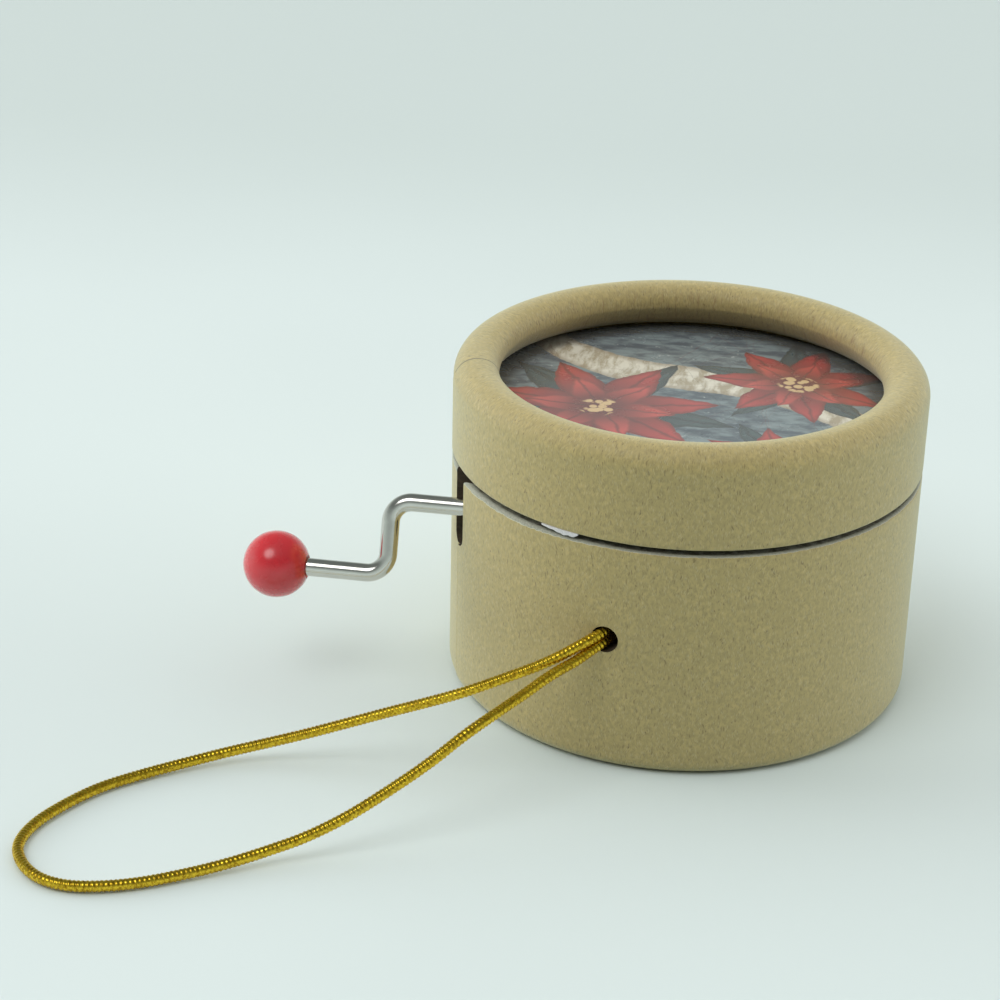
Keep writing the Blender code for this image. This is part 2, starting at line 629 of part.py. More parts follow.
def toothed_disc():
    """The gear's toothed disc about Z, its teeth twisted to follow the worm's thread."""
    root = (GEAR_ROOT, ROOT_HALF / GEAR_ROOT)
    tip = (GEAR_TIP, TIP_HALF / GEAR_TIP)
    bm = bmesh.new()
    rings = []
    for height in (-GEAR_WIDTH / 2, GEAR_WIDTH / 2):
        twist = height * LEAD_SLOPE / GEAR_PITCH_RADIUS
        ring = []
        for tooth in range(GEAR_TEETH):
            middle = 2 * math.pi * tooth / GEAR_TEETH + twist
            for (radius, spread), sign in ((root, -1), (tip, -1), (tip, 1), (root, 1)):
                angle = middle + sign * spread
                ring.append(bm.verts.new((radius * math.cos(angle), radius * math.sin(angle), height)))
        rings.append(ring)
        bm.faces.new([vert for index, vert in enumerate(ring) if index % 4 in (0, 3)])
        for tooth in range(GEAR_TEETH):
            bm.faces.new(ring[4 * tooth:4 * tooth + 4])
    low, high = rings
    for step in range(len(low)):
        after = (step + 1) % len(low)
        bm.faces.new((low[step], low[after], high[after], high[step]))
    return bm


def arbor_tool(name, parent):
    """Tool for the bore that takes the arbor, along its parent's Z."""
    return solid(name, rod(ARBOR_RADIUS + SEAT_GAP / 2, -BOX_RADIUS, BOX_RADIUS), "nylon", parent)


def make_cylinder():
    """The pinned drum, the gear and the cap that close its ends, and the arbor through them."""
    axis = empty("cylinder_spin", (CYLINDER_X, 0, CYLINDER_Z))
    along = (-math.pi / 2, 0, 0)
    bore = DRUM_RADIUS - DRUM_WALL

    outline = [(bore, DRUM_FRONT), (DRUM_RADIUS, DRUM_FRONT), (DRUM_RADIUS, DRUM_BACK), (bore, DRUM_BACK)]
    drum = solid("cylinder_drum", turned(outline, 36), "brass", axis, (0, 0, 0), along)
    pins = bmesh.new()
    middle = DRUM_RADIUS + (PIN_HEIGHT - SUNK) / 2
    for track in range(TRACKS):
        height = DRUM_MIDDLE + track_place(track)
        for pin in range(PINS_PER_TRACK):
            turn = 2 * math.pi * (track * PIN_TURN_SHARE + pin / PINS_PER_TRACK)
            shape = (
                Matrix.Rotation(turn, 4, "Z")
                @ Matrix.Translation((middle, 0, height))
                @ Matrix.Diagonal((PIN_HEIGHT + SUNK, PIN_WIDTH, PIN_WIDTH, 1))
            )
            bmesh.ops.create_cube(pins, size=1, matrix=shape)
    fuse(drum, solid("drum_pins", pins, "brass", axis, (0, 0, 0), along))

    gear = solid("cylinder_gear", toothed_disc(), "nylon", axis, (0, CRANK_Y, 0), along)
    front = FRONT_EAR_Y + RUN_GAP - CRANK_Y
    seat = DRUM_FRONT - SEAT_GAP - CRANK_Y
    neck = DRUM_RADIUS * NECK_SHARE
    flange = DRUM_RADIUS - FLANGE_LIP
    spigot = bore - SEAT_GAP
    outline = [
        (0, front),
        (HUB_RADIUS, front),
        (HUB_RADIUS, 0),
        (neck, 0),
        (neck, seat - FLANGE_THICKNESS),
        (flange, seat - FLANGE_THICKNESS),
        (flange, seat),
        (spigot, seat),
        (spigot, seat + SPIGOT_LENGTH),
        (0, seat + SPIGOT_LENGTH),
    ]
    fuse(gear, solid("gear_hub", turned(outline, 28), "nylon", gear))
    cut(gear, arbor_tool("gear_bore", gear))

    outline = [
        (0, -SPIGOT_LENGTH),
        (spigot, -SPIGOT_LENGTH),
        (spigot, 0),
        (flange, 0),
        (flange, FLANGE_THICKNESS),
        (HUB_RADIUS, FLANGE_THICKNESS),
        (HUB_RADIUS, FLANGE_THICKNESS + HUB_LENGTH),
        (0, FLANGE_THICKNESS + HUB_LENGTH),
    ]
    seat_of_cap = (0, DRUM_BACK + SEAT_GAP, 0)
    cap = solid("cylinder_end_cap", turned(outline, 28), "nylon", axis, seat_of_cap, along)
    cut(cap, arbor_tool("cap_bore", cap))

    outline = disc_outline(ARBOR_RADIUS, BEDPLATE_FRONT, BEDPLATE_BACK, ARBOR_CHAMFER)
    solid("cylinder_arbor", turned(outline, 20), "steel", axis, (0, 0, 0), along)


def filleted(corners, radius, steps):
    """Round the inner corners of a polyline."""
    points = [corners[0]]
    for before, corner, after in zip(corners, corners[1:], corners[2:]):
        back = (before - corner).normalized()
        on = (after - corner).normalized()
        half = back.angle(on) / 2
        centre = corner + (back + on).normalized() * (radius / math.sin(half))
        first = corner + back * (radius / math.tan(half)) - centre
        last = corner + on * (radius / math.tan(half)) - centre
        for step in range(steps + 1):
            points.append(centre + radius * first.slerp(last, step / steps).normalized())
    points.append(corners[-1])
    return points


def tube(name, points, radius, resolution, look, parent=None, location=(0, 0, 0), rotation=(0, 0, 0)):
    """A round wire or cord along points, closed at both ends."""
    curve = bpy.data.curves.new(name, "CURVE")
    curve.dimensions = "3D"
    curve.bevel_depth = radius
    curve.bevel_resolution = resolution
    curve.use_fill_caps = True
    spline = curve.splines.new("POLY")
    spline.points.add(len(points) - 1)
    for target, point in zip(spline.points, points):
        target.co = (*point, 1)
    spline.use_smooth = True
    curve.materials.append(finish(look))
    return place(bpy.data.objects.new(name, curve), parent, location, rotation)


def thread():
    """The worm's thread about Z, right-handed, its top crossing the middle of its length."""
    foot = WORM_ROOT - SUNK
    section = [(foot, -ROOT_HALF), (WORM_TIP, -TIP_HALF), (WORM_TIP, TIP_HALF), (foot, ROOT_HALF)]
    steps = THREAD_TURNS * THREAD_STEPS
    bm = bmesh.new()
    before = None
    for step in range(steps + 1):
        turn = 2 * math.pi * (step - steps / 2) / THREAD_STEPS
        rise = LEAD * turn / (2 * math.pi)
        ring = [bm.verts.new((r * math.cos(turn), r * math.sin(turn), rise + z)) for r, z in section]
        if before:
            for side in range(len(ring)):
                after = (side + 1) % len(ring)
                bm.faces.new((before[side], before[after], ring[after], ring[side]))
        else:
            bm.faces.new(ring)
        before = ring
    bm.faces.new(before)
    return bm


def make_crank():
    """The bent wire with its knob, the worm pressed on it, and the clip on its inner end."""
    axis = empty("crank_spin", (CYLINDER_X, CRANK_Y, CRANK_Z))
    wall = math.sqrt(BOX_RADIUS**2 - CRANK_Y**2)
    arm = -wall - CRANK_REACH - CYLINDER_X
    knob = arm - CRANK_HANDLE
    cheek = BRACKET_HALF + BRACKET_THICKNESS
    tip_of_wire = knob + KNOB_RADIUS - KNOB_BORE_DEPTH + SEAT_GAP
    corners = [
        Vector((cheek + CRANK_TAIL, 0, 0)),
        Vector((arm, 0, 0)),
        Vector((arm, 0, -CRANK_ARM)),
        Vector((tip_of_wire, 0, -CRANK_ARM)),
    ]
    swing = (-CRANK_REST, 0, 0)
    wire = filleted(corners, CRANK_BEND, 7)
    tube("crank_wire", wire, WIRE_RADIUS, 6, "nickel", axis, (0, 0, 0), swing)

    bore = WIRE_RADIUS + SEAT_GAP / 2
    mouth = math.degrees(math.asin(bore / KNOB_RADIUS))
    floor = KNOB_RADIUS - KNOB_BORE_DEPTH
    outline = (
        [(0, floor), (bore, floor)]
        + arc((0, 0), KNOB_RADIUS, 90 - mouth, -90, 11)[:-1]
        + [(0, -KNOB_RADIUS)]
    )
    place_of_knob = Vector((knob, 0, -CRANK_ARM))
    place_of_knob.rotate(Euler(swing))
    solid("crank_knob", turned(outline, 24), "red_gloss", axis, place_of_knob, (0, math.pi / 2, 0))

    sleeve = BRACKET_HALF - SEAT_GAP
    outline = [
        (bore, -sleeve),
        (WORM_ROOT, -sleeve),
        (WORM_ROOT, sleeve),
        (bore, sleeve),
    ]
    towards_knob = (0, -math.pi / 2, 0)
    worm = solid("crank_worm", turned(outline, 20), "nylon", axis, (0, 0, 0), towards_knob)
    fuse(worm, solid("worm_thread", thread(), "nylon", worm))

    mouth = math.degrees(CLIP_MOUTH) / 2
    outline = (
        arc((0, 0), bore + CLIP_WIDTH, mouth, 360 - mouth, 14)
        + arc((0, 0), bore, 360 - mouth, mouth, 14)
    )
    low = cheek + SEAT_GAP
    clip = slab(outline, low, low + CLIP_THICKNESS)
    solid("crank_clip", clip, "steel", axis, (0, 0, 0), (0, math.pi / 2, 0))


def smooth_route(points, fine_steps, spacing):
    """Points at an even spacing along one smooth curve through the route's points."""
    route = [Vector(point) for point in points]
    route = [2 * route[0] - route[1]] + route + [2 * route[-1] - route[-2]]
    fine = []
    for before, start, end, after in zip(route, route[1:], route[2:], route[3:]):
        for step in range(fine_steps):
            t = step / fine_steps
            fine.append(
                (
                    2 * start
                    + (end - before) * t
                    + (2 * before - 5 * start + 4 * end - after) * t**2
                    + (3 * start - before - 3 * end + after) * t**3
                )
                / 2
            )
    fine.append(route[-2])
    lengths = [0]
    for start, end in zip(fine, fine[1:]):
        lengths.append(lengths[-1] + (end - start).length)
    count = round(lengths[-1] / spacing)
    even = []
    index = 0
    for step in range(count + 1):
        distance = lengths[-1] * step / count
        while index < len(fine) - 2 and lengths[index + 1] < distance:
            index += 1
        share = (distance - lengths[index]) / (lengths[index + 1] - lengths[index])
        even.append(fine[index].lerp(fine[index + 1], share))
    return even


def make_hanging_loop():
    """The cord's loop, and the knot inside the collar that keeps its two ends from pulling out."""
    tube("hanging_loop", smooth_route(CORD_ROUTE, CORD_FINE_STEPS, CORD_SPACING), CORD_RADIUS, 2,
         "gold_cord")
    face = COLLAR_BORE - CARD_GAP
    middle = face - KNOT_LENGTH / 2
    bulge = (KNOT_RADIUS, KNOT_LENGTH * KNOT_BULGE_SHARE / 2)
    outline = (
        [(0, face), (KNOT_RADIUS * KNOT_FACE_SHARE, face)]
        + arc((0, middle), bulge, 45, -60, 7)
        + [(0, face - KNOT_LENGTH)]
    )
    solid("loop_knot", turned(outline, 20), "gold_cord", None, (0, 0, CORD_HOLE_HEIGHT),
          (0, math.pi / 2, CORD_HOLE_TURN))


def main():
    clear_scene()
    make_base()
    make_lid()
    make_bedplate()
    make_bracket()
    make_comb()
    make_screws()
    make_cylinder()
    make_crank()
    make_hanging_loop()
    bpy.context.view_layer.update()


main()
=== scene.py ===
import json
import math

import bmesh
import bpy
from mathutils import Matrix, Vector


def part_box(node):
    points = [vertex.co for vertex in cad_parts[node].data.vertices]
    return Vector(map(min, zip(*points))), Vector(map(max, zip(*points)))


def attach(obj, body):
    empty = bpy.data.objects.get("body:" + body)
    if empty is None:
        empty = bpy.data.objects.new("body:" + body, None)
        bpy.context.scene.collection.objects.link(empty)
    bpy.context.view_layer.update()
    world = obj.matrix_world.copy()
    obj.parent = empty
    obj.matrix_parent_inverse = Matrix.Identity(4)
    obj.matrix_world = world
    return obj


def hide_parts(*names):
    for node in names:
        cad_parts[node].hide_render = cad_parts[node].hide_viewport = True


# Hand crank music box. Metres, in the part's frame: +Z up, the origin on the box's axis on the
# table, the crank towards -X and the hanging loop towards -Y. A pair of values for a fade is
# where it starts and where it is full.
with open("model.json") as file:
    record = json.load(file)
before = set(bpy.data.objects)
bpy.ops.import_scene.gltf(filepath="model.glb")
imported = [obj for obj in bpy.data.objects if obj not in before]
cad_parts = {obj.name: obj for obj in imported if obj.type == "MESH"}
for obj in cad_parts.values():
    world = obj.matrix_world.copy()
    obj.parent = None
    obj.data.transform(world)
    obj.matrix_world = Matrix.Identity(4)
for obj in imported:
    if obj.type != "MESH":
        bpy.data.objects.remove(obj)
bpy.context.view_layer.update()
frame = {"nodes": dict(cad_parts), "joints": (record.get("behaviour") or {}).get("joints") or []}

# Camera, fitted to the ellipses of the rim, the seam and the foot
IMAGE_WIDTH_PX = 1000
FOCAL_PX = 2489.6
SENSOR_WIDTH = 36.0
CAMERA_PLACE = Vector((0.01898, -0.25246, 0.13979))
CAMERA_FORWARD = Vector((-0.14067, 0.89186, -0.42988))
CAMERA_ROLL = math.radians(1.35)
CAMERA_CLIP_START = 0.01

# Box and lid
BOX_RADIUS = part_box("base_tube")[1].x
BASE_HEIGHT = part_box("base_tube")[1].z
LID_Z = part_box("lid_tube")[0].z
LID_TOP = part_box("lid_tube")[1].z
PICTURE_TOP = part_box("picture_disc")[1].z
WALL = 0.0020
WALL_BORE = BOX_RADIUS - WALL
FOOT_ROUND = 0.0016
EDGE_ROUND = 0.00035
EDGE_DEGREES = 75                    # a tube's cut edge is rounded through this angle
BEAD_WIDTH = 0.0048
BEAD_DEPTH = 0.0050
BEAD_TUCK_SHARE = 0.12
BEAD_TUCK_DEGREES = 205              # from here down, the roll's paper is tucked under it
BEAD_INNER_POWER = 2.35              # 2 is an ellipse; more is squarer towards the picture
BEAD_INNER_REACH = 0.0002            # how far the roll hangs over the picture's edge
PAPER = 0.00010                      # thickness of the wrapping paper where it overlaps itself
BASE_LAP_TURN = math.radians(-154.9)
LID_LAP_TURN = math.radians(-166)
LAP_FADE = math.radians(16)          # over this turn the overlapped paper comes down to the wall
LAP_STEP = math.radians(0.05)
LAP_GROOVE = 0.00022                 # how deep the surface dips where the wrapping ends
LAP_GROOVE_TURN = math.radians(0.9)
LAP_GROOVE_SHARES = (1, 0.7, 0.4)    # of that turn, where the dip has points of its own
BARE_EDGE_WIDE = 0.00042             # strip of bare board above the paper, partly painted light for the wall's lit top; at the crank's side
BARE_EDGE_THIN = 0.00014             # and elsewhere
BARE_EDGE_NARROWS = (-0.016, -0.004)         # along X, from the wide strip to the thin one

# Crank's slot and the cord's hole
CRANK = Vector(next(joint["pos_m"] for joint in frame["joints"] if joint["name"] == "crank_spin"))
SLOT_HALF = 0.00135
SLOT_BELOW_CRANK = 0.0046
SLOT_CORNER = 0.0007
CORD_HOLE_RADIUS = 0.0015
CORD_HOLE_HEIGHT = 0.0154
CORD_HOLE_TURN = math.radians(-102.2)

# Crank
WIRE_RADIUS = 0.0010
CRANK_REACH = 0.0075
CRANK_ARM = 0.00815
CRANK_BEND = 0.0023
CRANK_REST = math.radians(22)
KNOB_RADIUS = 0.0037
KNOB_MOUTH = 0.0011
KNOB_LIP = 0.00025
KNOB_BORE_DEPTH = 1.2 * KNOB_RADIUS
KNOB_END_DEGREES = -89               # the ball's outline stops just short of its axis

# Torn paper on the lid's lower edge
TEAR_START = math.radians(-119.6)
TEAR_END = math.radians(-109.8)
TEAR_DROP = 0.00044
TEAR_ABOVE = 0.0001
TEAR_THICK = 3 * PAPER
TEAR_MIDDLE = 0.82                   # share of the drop that its ragged edge reaches
TEAR_RAGGED = 0.18                   # and how far the edge strays from that, either way
TEAR_WAVES = (23, 9)
TEAR_RISES = ((0.08, 1.5), (0.1, 9))         # share of the drop at each end, and how fast it grows
TEAR_BACK_SHARE = 0.85               # its inner side hangs less far down

# Hanging loop
CORD_DIAMETER = 0.0012
RIB_PITCH = 0.00046
RIB_DEPTH = 0.00007
RIB_RINGS = 5                        # rings of the mesh in each rib
KNOT_RADIUS = 0.0021
KNOT_LENGTH = 0.0036
KNOT_FACE = 0.0223                   # from the box's axis to the knot's outer face

# Steps of the meshes' arcs and walls, and the angles up to which their edges look smooth
ROUND_STEPS = 240
FOOT_STEPS = 8
WALL_STEPS = 16
LID_WALL_STEPS = 5
EDGE_STEPS = 4
BEAD_OUTER_STEPS = 20
BEAD_INNER_STEPS = 24
BEAD_TUCK_STEPS = 12
SLOT_STEPS = 16
SLOT_CORNER_STEPS = 8
HOLE_STEPS = 40
TEAR_STEPS = 36
WIRE_BEND_STEPS = 24
WIRE_BEVEL_STEPS = 10
KNOB_ARC_STEPS = 44
KNOB_STEPS = 64
KNOT_STEPS = 260
ROUTE_STEPS = 24
CORD_SIDES = 14
SMOOTH_DEGREES = 35
CORD_SMOOTH_DEGREES = 70

# Places in a tube's list of materials: its paper, its bare board, and its holes' edges
PAPER_LOOK, BOARD_LOOK, HOLE_LOOK = range(3)

# The loop's route, from the knot out through the hole, round on the table and back in again
CORD_ROUTE = [
    (-0.00446, -0.02206, 0.01478),
    (-0.00552, -0.02459, 0.01478),
    (-0.00674, -0.02623, 0.01438),
    (-0.00808, -0.02804, 0.01395),
    (-0.00956, -0.02973, 0.01360),
    (-0.01101, -0.03147, 0.01317),
    (-0.01244, -0.03329, 0.01260),
    (-0.01720, -0.03950, 0.01102),
    (-0.02070, -0.04220, 0.00862),
    (-0.02440, -0.04460, 0.00632),
    (-0.02810, -0.04690, 0.00429),
    (-0.03180, -0.04890, 0.00272),
    (-0.03560, -0.05070, 0.00162),
    (-0.03920, -0.05270, 0.00097),
    (-0.04280, -0.05480, 0.00070),
    (-0.04630, -0.05680, 0.00065),
    (-0.04980, -0.05820, 0.00065),
    (-0.05330, -0.05880, 0.00065),
    (-0.05640, -0.05810, 0.00065),
    (-0.05890, -0.05600, 0.00065),
    (-0.06040, -0.05290, 0.00065),
    (-0.06010, -0.04910, 0.00065),
    (-0.05830, -0.04500, 0.00065),
    (-0.05570, -0.04110, 0.00065),
    (-0.05230, -0.03780, 0.00065),
    (-0.04850, -0.03500, 0.00083),
    (-0.04460, -0.03290, 0.00134),
    (-0.04040, -0.03160, 0.00226),
    (-0.03610, -0.03090, 0.00355),
    (-0.03180, -0.03050, 0.00512),
    (-0.02740, -0.03050, 0.00696),
    (-0.02300, -0.03080, 0.00890),
    (-0.01880, -0.03100, 0.01084),
    (-0.01306, -0.02946, 0.01305),
    (-0.01141, -0.02897, 0.01375),
    (-0.00980, -0.02829, 0.01445),
    (-0.00823, -0.02722, 0.01510),
    (-0.00680, -0.02608, 0.01565),
    (-0.00552, -0.02459, 0.01602),
    (-0.00446, -0.02206, 0.01602),
]

# Colours, linear
KRAFT = (0.45, 0.360, 0.143)
KRAFT_DARK = (0.16, 0.115, 0.045)
KRAFT_PALE = (0.66, 0.62, 0.42)
BOARD = (0.36, 0.36, 0.29)
BOARD_DARK = (0.13, 0.115, 0.08)
COLLAR = (0.160, 0.115, 0.080)
COLLAR_DARK = (0.070, 0.048, 0.034)
LINING = (0.085, 0.060, 0.036)
# painted shade in the roll's creases and at its foot, warm as a painted reflection of the picture
CURL_SHADE = (0.26, 0.140, 0.062)
SHEEN_TINT = (0.80, 1.0, 0.92, 1)
# bare board below the seam, partly painted light for the wall's lit top; then a painted highlight
# along the paper's edge
BARE_EDGE = (0.40, 0.40, 0.31)
LIP_HIGHLIGHT = (0.62, 0.61, 0.47)
TORN_WHITE = (0.80, 0.80, 0.80)
RED = (0.66, 0.018, 0.030)
GOLD = (0.80, 0.55, 0.040)
GOLD_DEEP = (0.36, 0.20, 0.012)
NICKEL = (0.66, 0.645, 0.60)
ZINC = (0.50, 0.50, 0.48)
ZINC_DULL = (0.34, 0.34, 0.33)
STEEL = (0.62, 0.62, 0.61)
STEEL_DULL = (0.46, 0.46, 0.45)
BRASS = (0.72, 0.54, 0.24)
BRASS_DULL = (0.50, 0.34, 0.14)
NYLON_DEEP = (0.70, 0.69, 0.62)
NYLON_PALE = (0.80, 0.79, 0.73)
FLOOR = (0.640, 0.730, 0.722)
# painted shade far behind the box
FLOOR_FAR_SHADE = (0.560, 0.645, 0.630)
BACKDROP = (0.665, 0.765, 0.735)
ROOM_TINT = (1.0, 1.0, 0.985, 1)

# Marks on paper and board, and painted shade and highlights on them
NOISE_RANGE = (0.3, 0.7)
STROKE_FADE = (0.34, 0.14)           # a fibre's edge, in shares of its cell
KRAFT_SWAY = 0.0007                  # how far fibres are pushed out of their rows
PALE_FIBRES = (0.00013, 0.0008, 0.30, 0.3)   # cells' width and length, share filled, turn
PALE_FIBRE_SHOWS = 0.30
PALE_FIBRE_RISE = 0.4
DARK_FIBRES = (                      # the same, with the cells' shift and how much they show
    (0.00012, 0.00060, 0.26, -0.25, 0.4, 0.32),
    (0.00014, 0.00065, 0.14, 0.95, 0.7, 0.38),
    (0.00014, 0.00060, 0.10, -1.2, 0.2, 0.32),
    (0.00024, 0.00110, 0.045, 0.45, 0.1, 0.55),
    (0.00026, 0.00050, 0.020, 1.4, 0.9, 0.62),
)
LAP_SHADE_START = 0.00045             # the painted shade in the groove starts this far before the wrapping's end
LAP_SHADE_FULL = 0.0001
LAP_SHADE_SHOWS = 0.75
CREASE_ACROSS = (0.55, 0.80)         # fade, in shares of the roll's width
CREASE_DOWN = (0.06, 0.28)           # fade, in shares of its depth
CREASE_SHADE_SHOWS = 0.5
CREASE_RISE = -1.2
FOOT_SHADE_START = 0.15                   # share of the roll's depth at which the painted shade at its foot starts
FOOT_SHADE_SHOWS = 0.6
BARE_EDGE_FADE = (1.05, 0.9)         # in shares of the bare strip's width
LIP_HIGHLIGHT_FADE = (0.7, 0.95)

# Print: its picture's colours, a painted shadow and a painted reflection on it, and its motifs'
# places and sizes
GROUND_DARK = (0.045, 0.075, 0.11)
GROUND_PALE = (0.20, 0.27, 0.29)
SNOW = (0.55, 0.60, 0.58)
RIBBON_CREAM = (0.80, 0.77, 0.64)
RIBBON_FOLD = (0.42, 0.36, 0.24)
RIBBON_EDGE = (0.30, 0.24, 0.16)
LEAF_NAVY = (0.012, 0.02, 0.035)
LEAF_TEAL = (0.05, 0.10, 0.11)
PETAL_DARK = (0.14, 0.006, 0.010)
PETAL_RED = (0.52, 0.030, 0.032)
PETAL_BRIGHT = (0.62, 0.06, 0.05)
BERRY = (0.72, 0.50, 0.24)
# painted shadow at the print's edge, under the rolled rim
PRINT_RIM_SHADOW = (0.02, 0.025, 0.03)
# painted pale reflection over the whole print
PRINT_REFLECTION = (0.80, 0.76, 0.68)
PRINT_REFLECTION_SHOWS = 0.10
PRINT_RIM_SHADOW_FADE = (0.0195, 0.0215)
BRUSH_WOBBLE = 0.0012
RIBBON_WAVES = 150.0                 # radians in a metre
RIBBON_SWING = 0.0032
RIBBON_SLOPE = -0.55
RIBBON_RISE = 0.0065
RIBBON_FADE = (0.0036, 0.0033)       # off its middle line
RIBBON_EDGE_FADE = (0.0020, 0.0034)
FLOWERS = (                          # middle, reach and turn
    ((-0.0095, -0.0035), 0.0155, 0.2),
    ((0.0115, 0.0075), 0.0125, 0.9),
    ((0.0105, -0.0140), 0.0100, 0.5),
)
FLOWER_RINGS = (                     # share of the reach, petals, turn, width, deep and bright
    (1.0, 5, 0.6, 0.16, LEAF_NAVY, LEAF_TEAL),
    (0.86, 7, 0.0, 0.21, PETAL_DARK, PETAL_RED),
    (0.55, 6, 0.4, 0.25, PETAL_DARK, PETAL_BRIGHT),
)
PETAL_POINT = 0.8                    # under 1, a petal is widest nearer its foot
PETAL_EDGE = 0.07                    # in shares of a petal's reach, as the next two are
PETAL_SOFT = 0.006
VEIN_HALF = 0.035
HEART_FADE = (0.0024, 0.0020)

# Floor
FLOOR_HALF = 3.0
FLOOR_HEIGHT = -0.00002
FLOOR_FAR_SHADE_FADE = (0.09, 0.20)

# Lights: a colour renders about as written under them together
KEY_TOWARDS = Vector((-0.40, -0.55, 1.0))
KEY_DISTANCE = 1.6
KEY_SIZE = 0.9
KEY_POWER = 6.1
ROOM_LEVEL = 0.025
ROOM_SIDES = 4.4
ROOM_BEHIND_SHARE = 0.4
ROOM_LEFT_LEAN = 0.28
ROOM_ABOVE = 1.0
ROOM_ASIDE_FADE = (-0.33, 0.0)       # by how far back a direction points
ROOM_BEHIND_FADE = (0.15, 0.9)
ROOM_LOW_FADE = (0.1, 0.9)           # by how far up it points, as the next two are
ROOM_ABOVE_FADE = (0.45, 0.95)
MIRRORED_FADE = (0.05, 0.6)
MIRRORED_BELOW = 0.95
MIRRORED_ABOVE = 0.25
LEAST_LEVEL_PART = 0.001             # keeps the direction straight up from dividing by nothing


def new_material(name):
    material = bpy.data.materials.new(name)
    material.use_nodes = True
    tree = material.node_tree
    return material, tree, tree.nodes["Principled BSDF"]


def feed(tree, target, inputs):
    """Set a node's inputs; each is a value, or an output to link to it."""
    for name, value in dict(inputs).items():
        if isinstance(value, bpy.types.NodeSocket):
            tree.links.new(value, target.inputs[name])
        else:
            target.inputs[name].default_value = value


def node(tree, kind, inputs=(), **settings):
    made = tree.nodes.new("ShaderNode" + kind)
    for name, value in settings.items():
        setattr(made, name, value)
    feed(tree, made, inputs)
    return made


def calc(tree, operation, *values):
    return node(tree, "Math", enumerate(values), operation=operation).outputs[0]


def hypotenuse(tree, x, y):
    squares = calc(tree, "ADD", calc(tree, "POWER", x, 2.0), calc(tree, "POWER", y, 2.0))
    return calc(tree, "SQRT", squares)


def shifted(tree, place, offset):
    return node(tree, "VectorMath", {0: place, 1: offset}, operation="ADD").outputs[0]


def scaled(colour, factor):
    return [part * factor for part in colour]


def blend(tree, share, first, second):
    """Mix two colours, each an output or three numbers."""
    inputs = {0: share}
    for index, colour in ((6, first), (7, second)):
        inputs[index] = colour if isinstance(colour, bpy.types.NodeSocket) else (*colour, 1)
    return node(tree, "Mix", inputs, data_type="RGBA").outputs[2]


def between(tree, value, low, high, to_low=0.0, to_high=1.0):
    """Rise smoothly from to_low to to_high while value goes from low to high."""
    inputs = {0: value, 1: low, 2: high, 3: to_low, 4: to_high}
    return node(tree, "MapRange", inputs, interpolation_type="SMOOTHSTEP").outputs[0]


def spread(tree, noise, to_low=0.0, to_high=1.0):
    """Stretch a noise, which seldom leaves its middle range, over a range of its own."""
    return between(tree, noise, *NOISE_RANGE, to_low, to_high)


def grain(tree, place, scale, detail=2.0, roughness=0.5, stretch=(1, 1, 1), distortion=0.0):
    """Noise at a place; scale is waves per metre, and stretch draws it out along an axis."""
    moved = node(tree, "Mapping", {0: place, 3: stretch}).outputs[0]
    inputs = {"Vector": moved, "Scale": scale, "Detail": detail, "Roughness": roughness,
              "Distortion": distortion}
    return node(tree, "TexNoise", inputs).outputs[0]


def flecks(tree, place, width, length, share, turn=0.0, shift=0.0):
    """Short strokes: cells of width by length, of which a share hold a stroke lengthways."""
    inputs = {0: place, 1: (shift, shift, 0), 2: (0, 0, turn), 3: (1 / width, 1 / length, 1)}
    cells = node(tree, "Mapping", inputs).outputs[0]
    cell = node(tree, "TexVoronoi", {"Vector": cells, "Scale": 1.0}, voronoi_dimensions="2D")
    stroke = between(tree, cell.outputs["Distance"], *STROKE_FADE)
    chance = node(tree, "SeparateColor", {0: cell.outputs["Color"]}).outputs[0]
    return calc(tree, "MULTIPLY", stroke, calc(tree, "LESS_THAN", chance, share))


def bump(tree, shader, height, distance, strength):
    """Raise a surface by up to distance, in metres."""
    normal = node(tree, "Bump", {"Height": height, "Distance": distance, "Strength": strength})
    feed(tree, shader, {"Normal": normal.outputs[0]})


def surface_place(tree):
    """Metres round the wall and along its section, from the mesh's own map."""
    return node(tree, "TexCoord").outputs["UV"]


def solid_place(tree):
    return node(tree, "TexCoord").outputs["Object"]


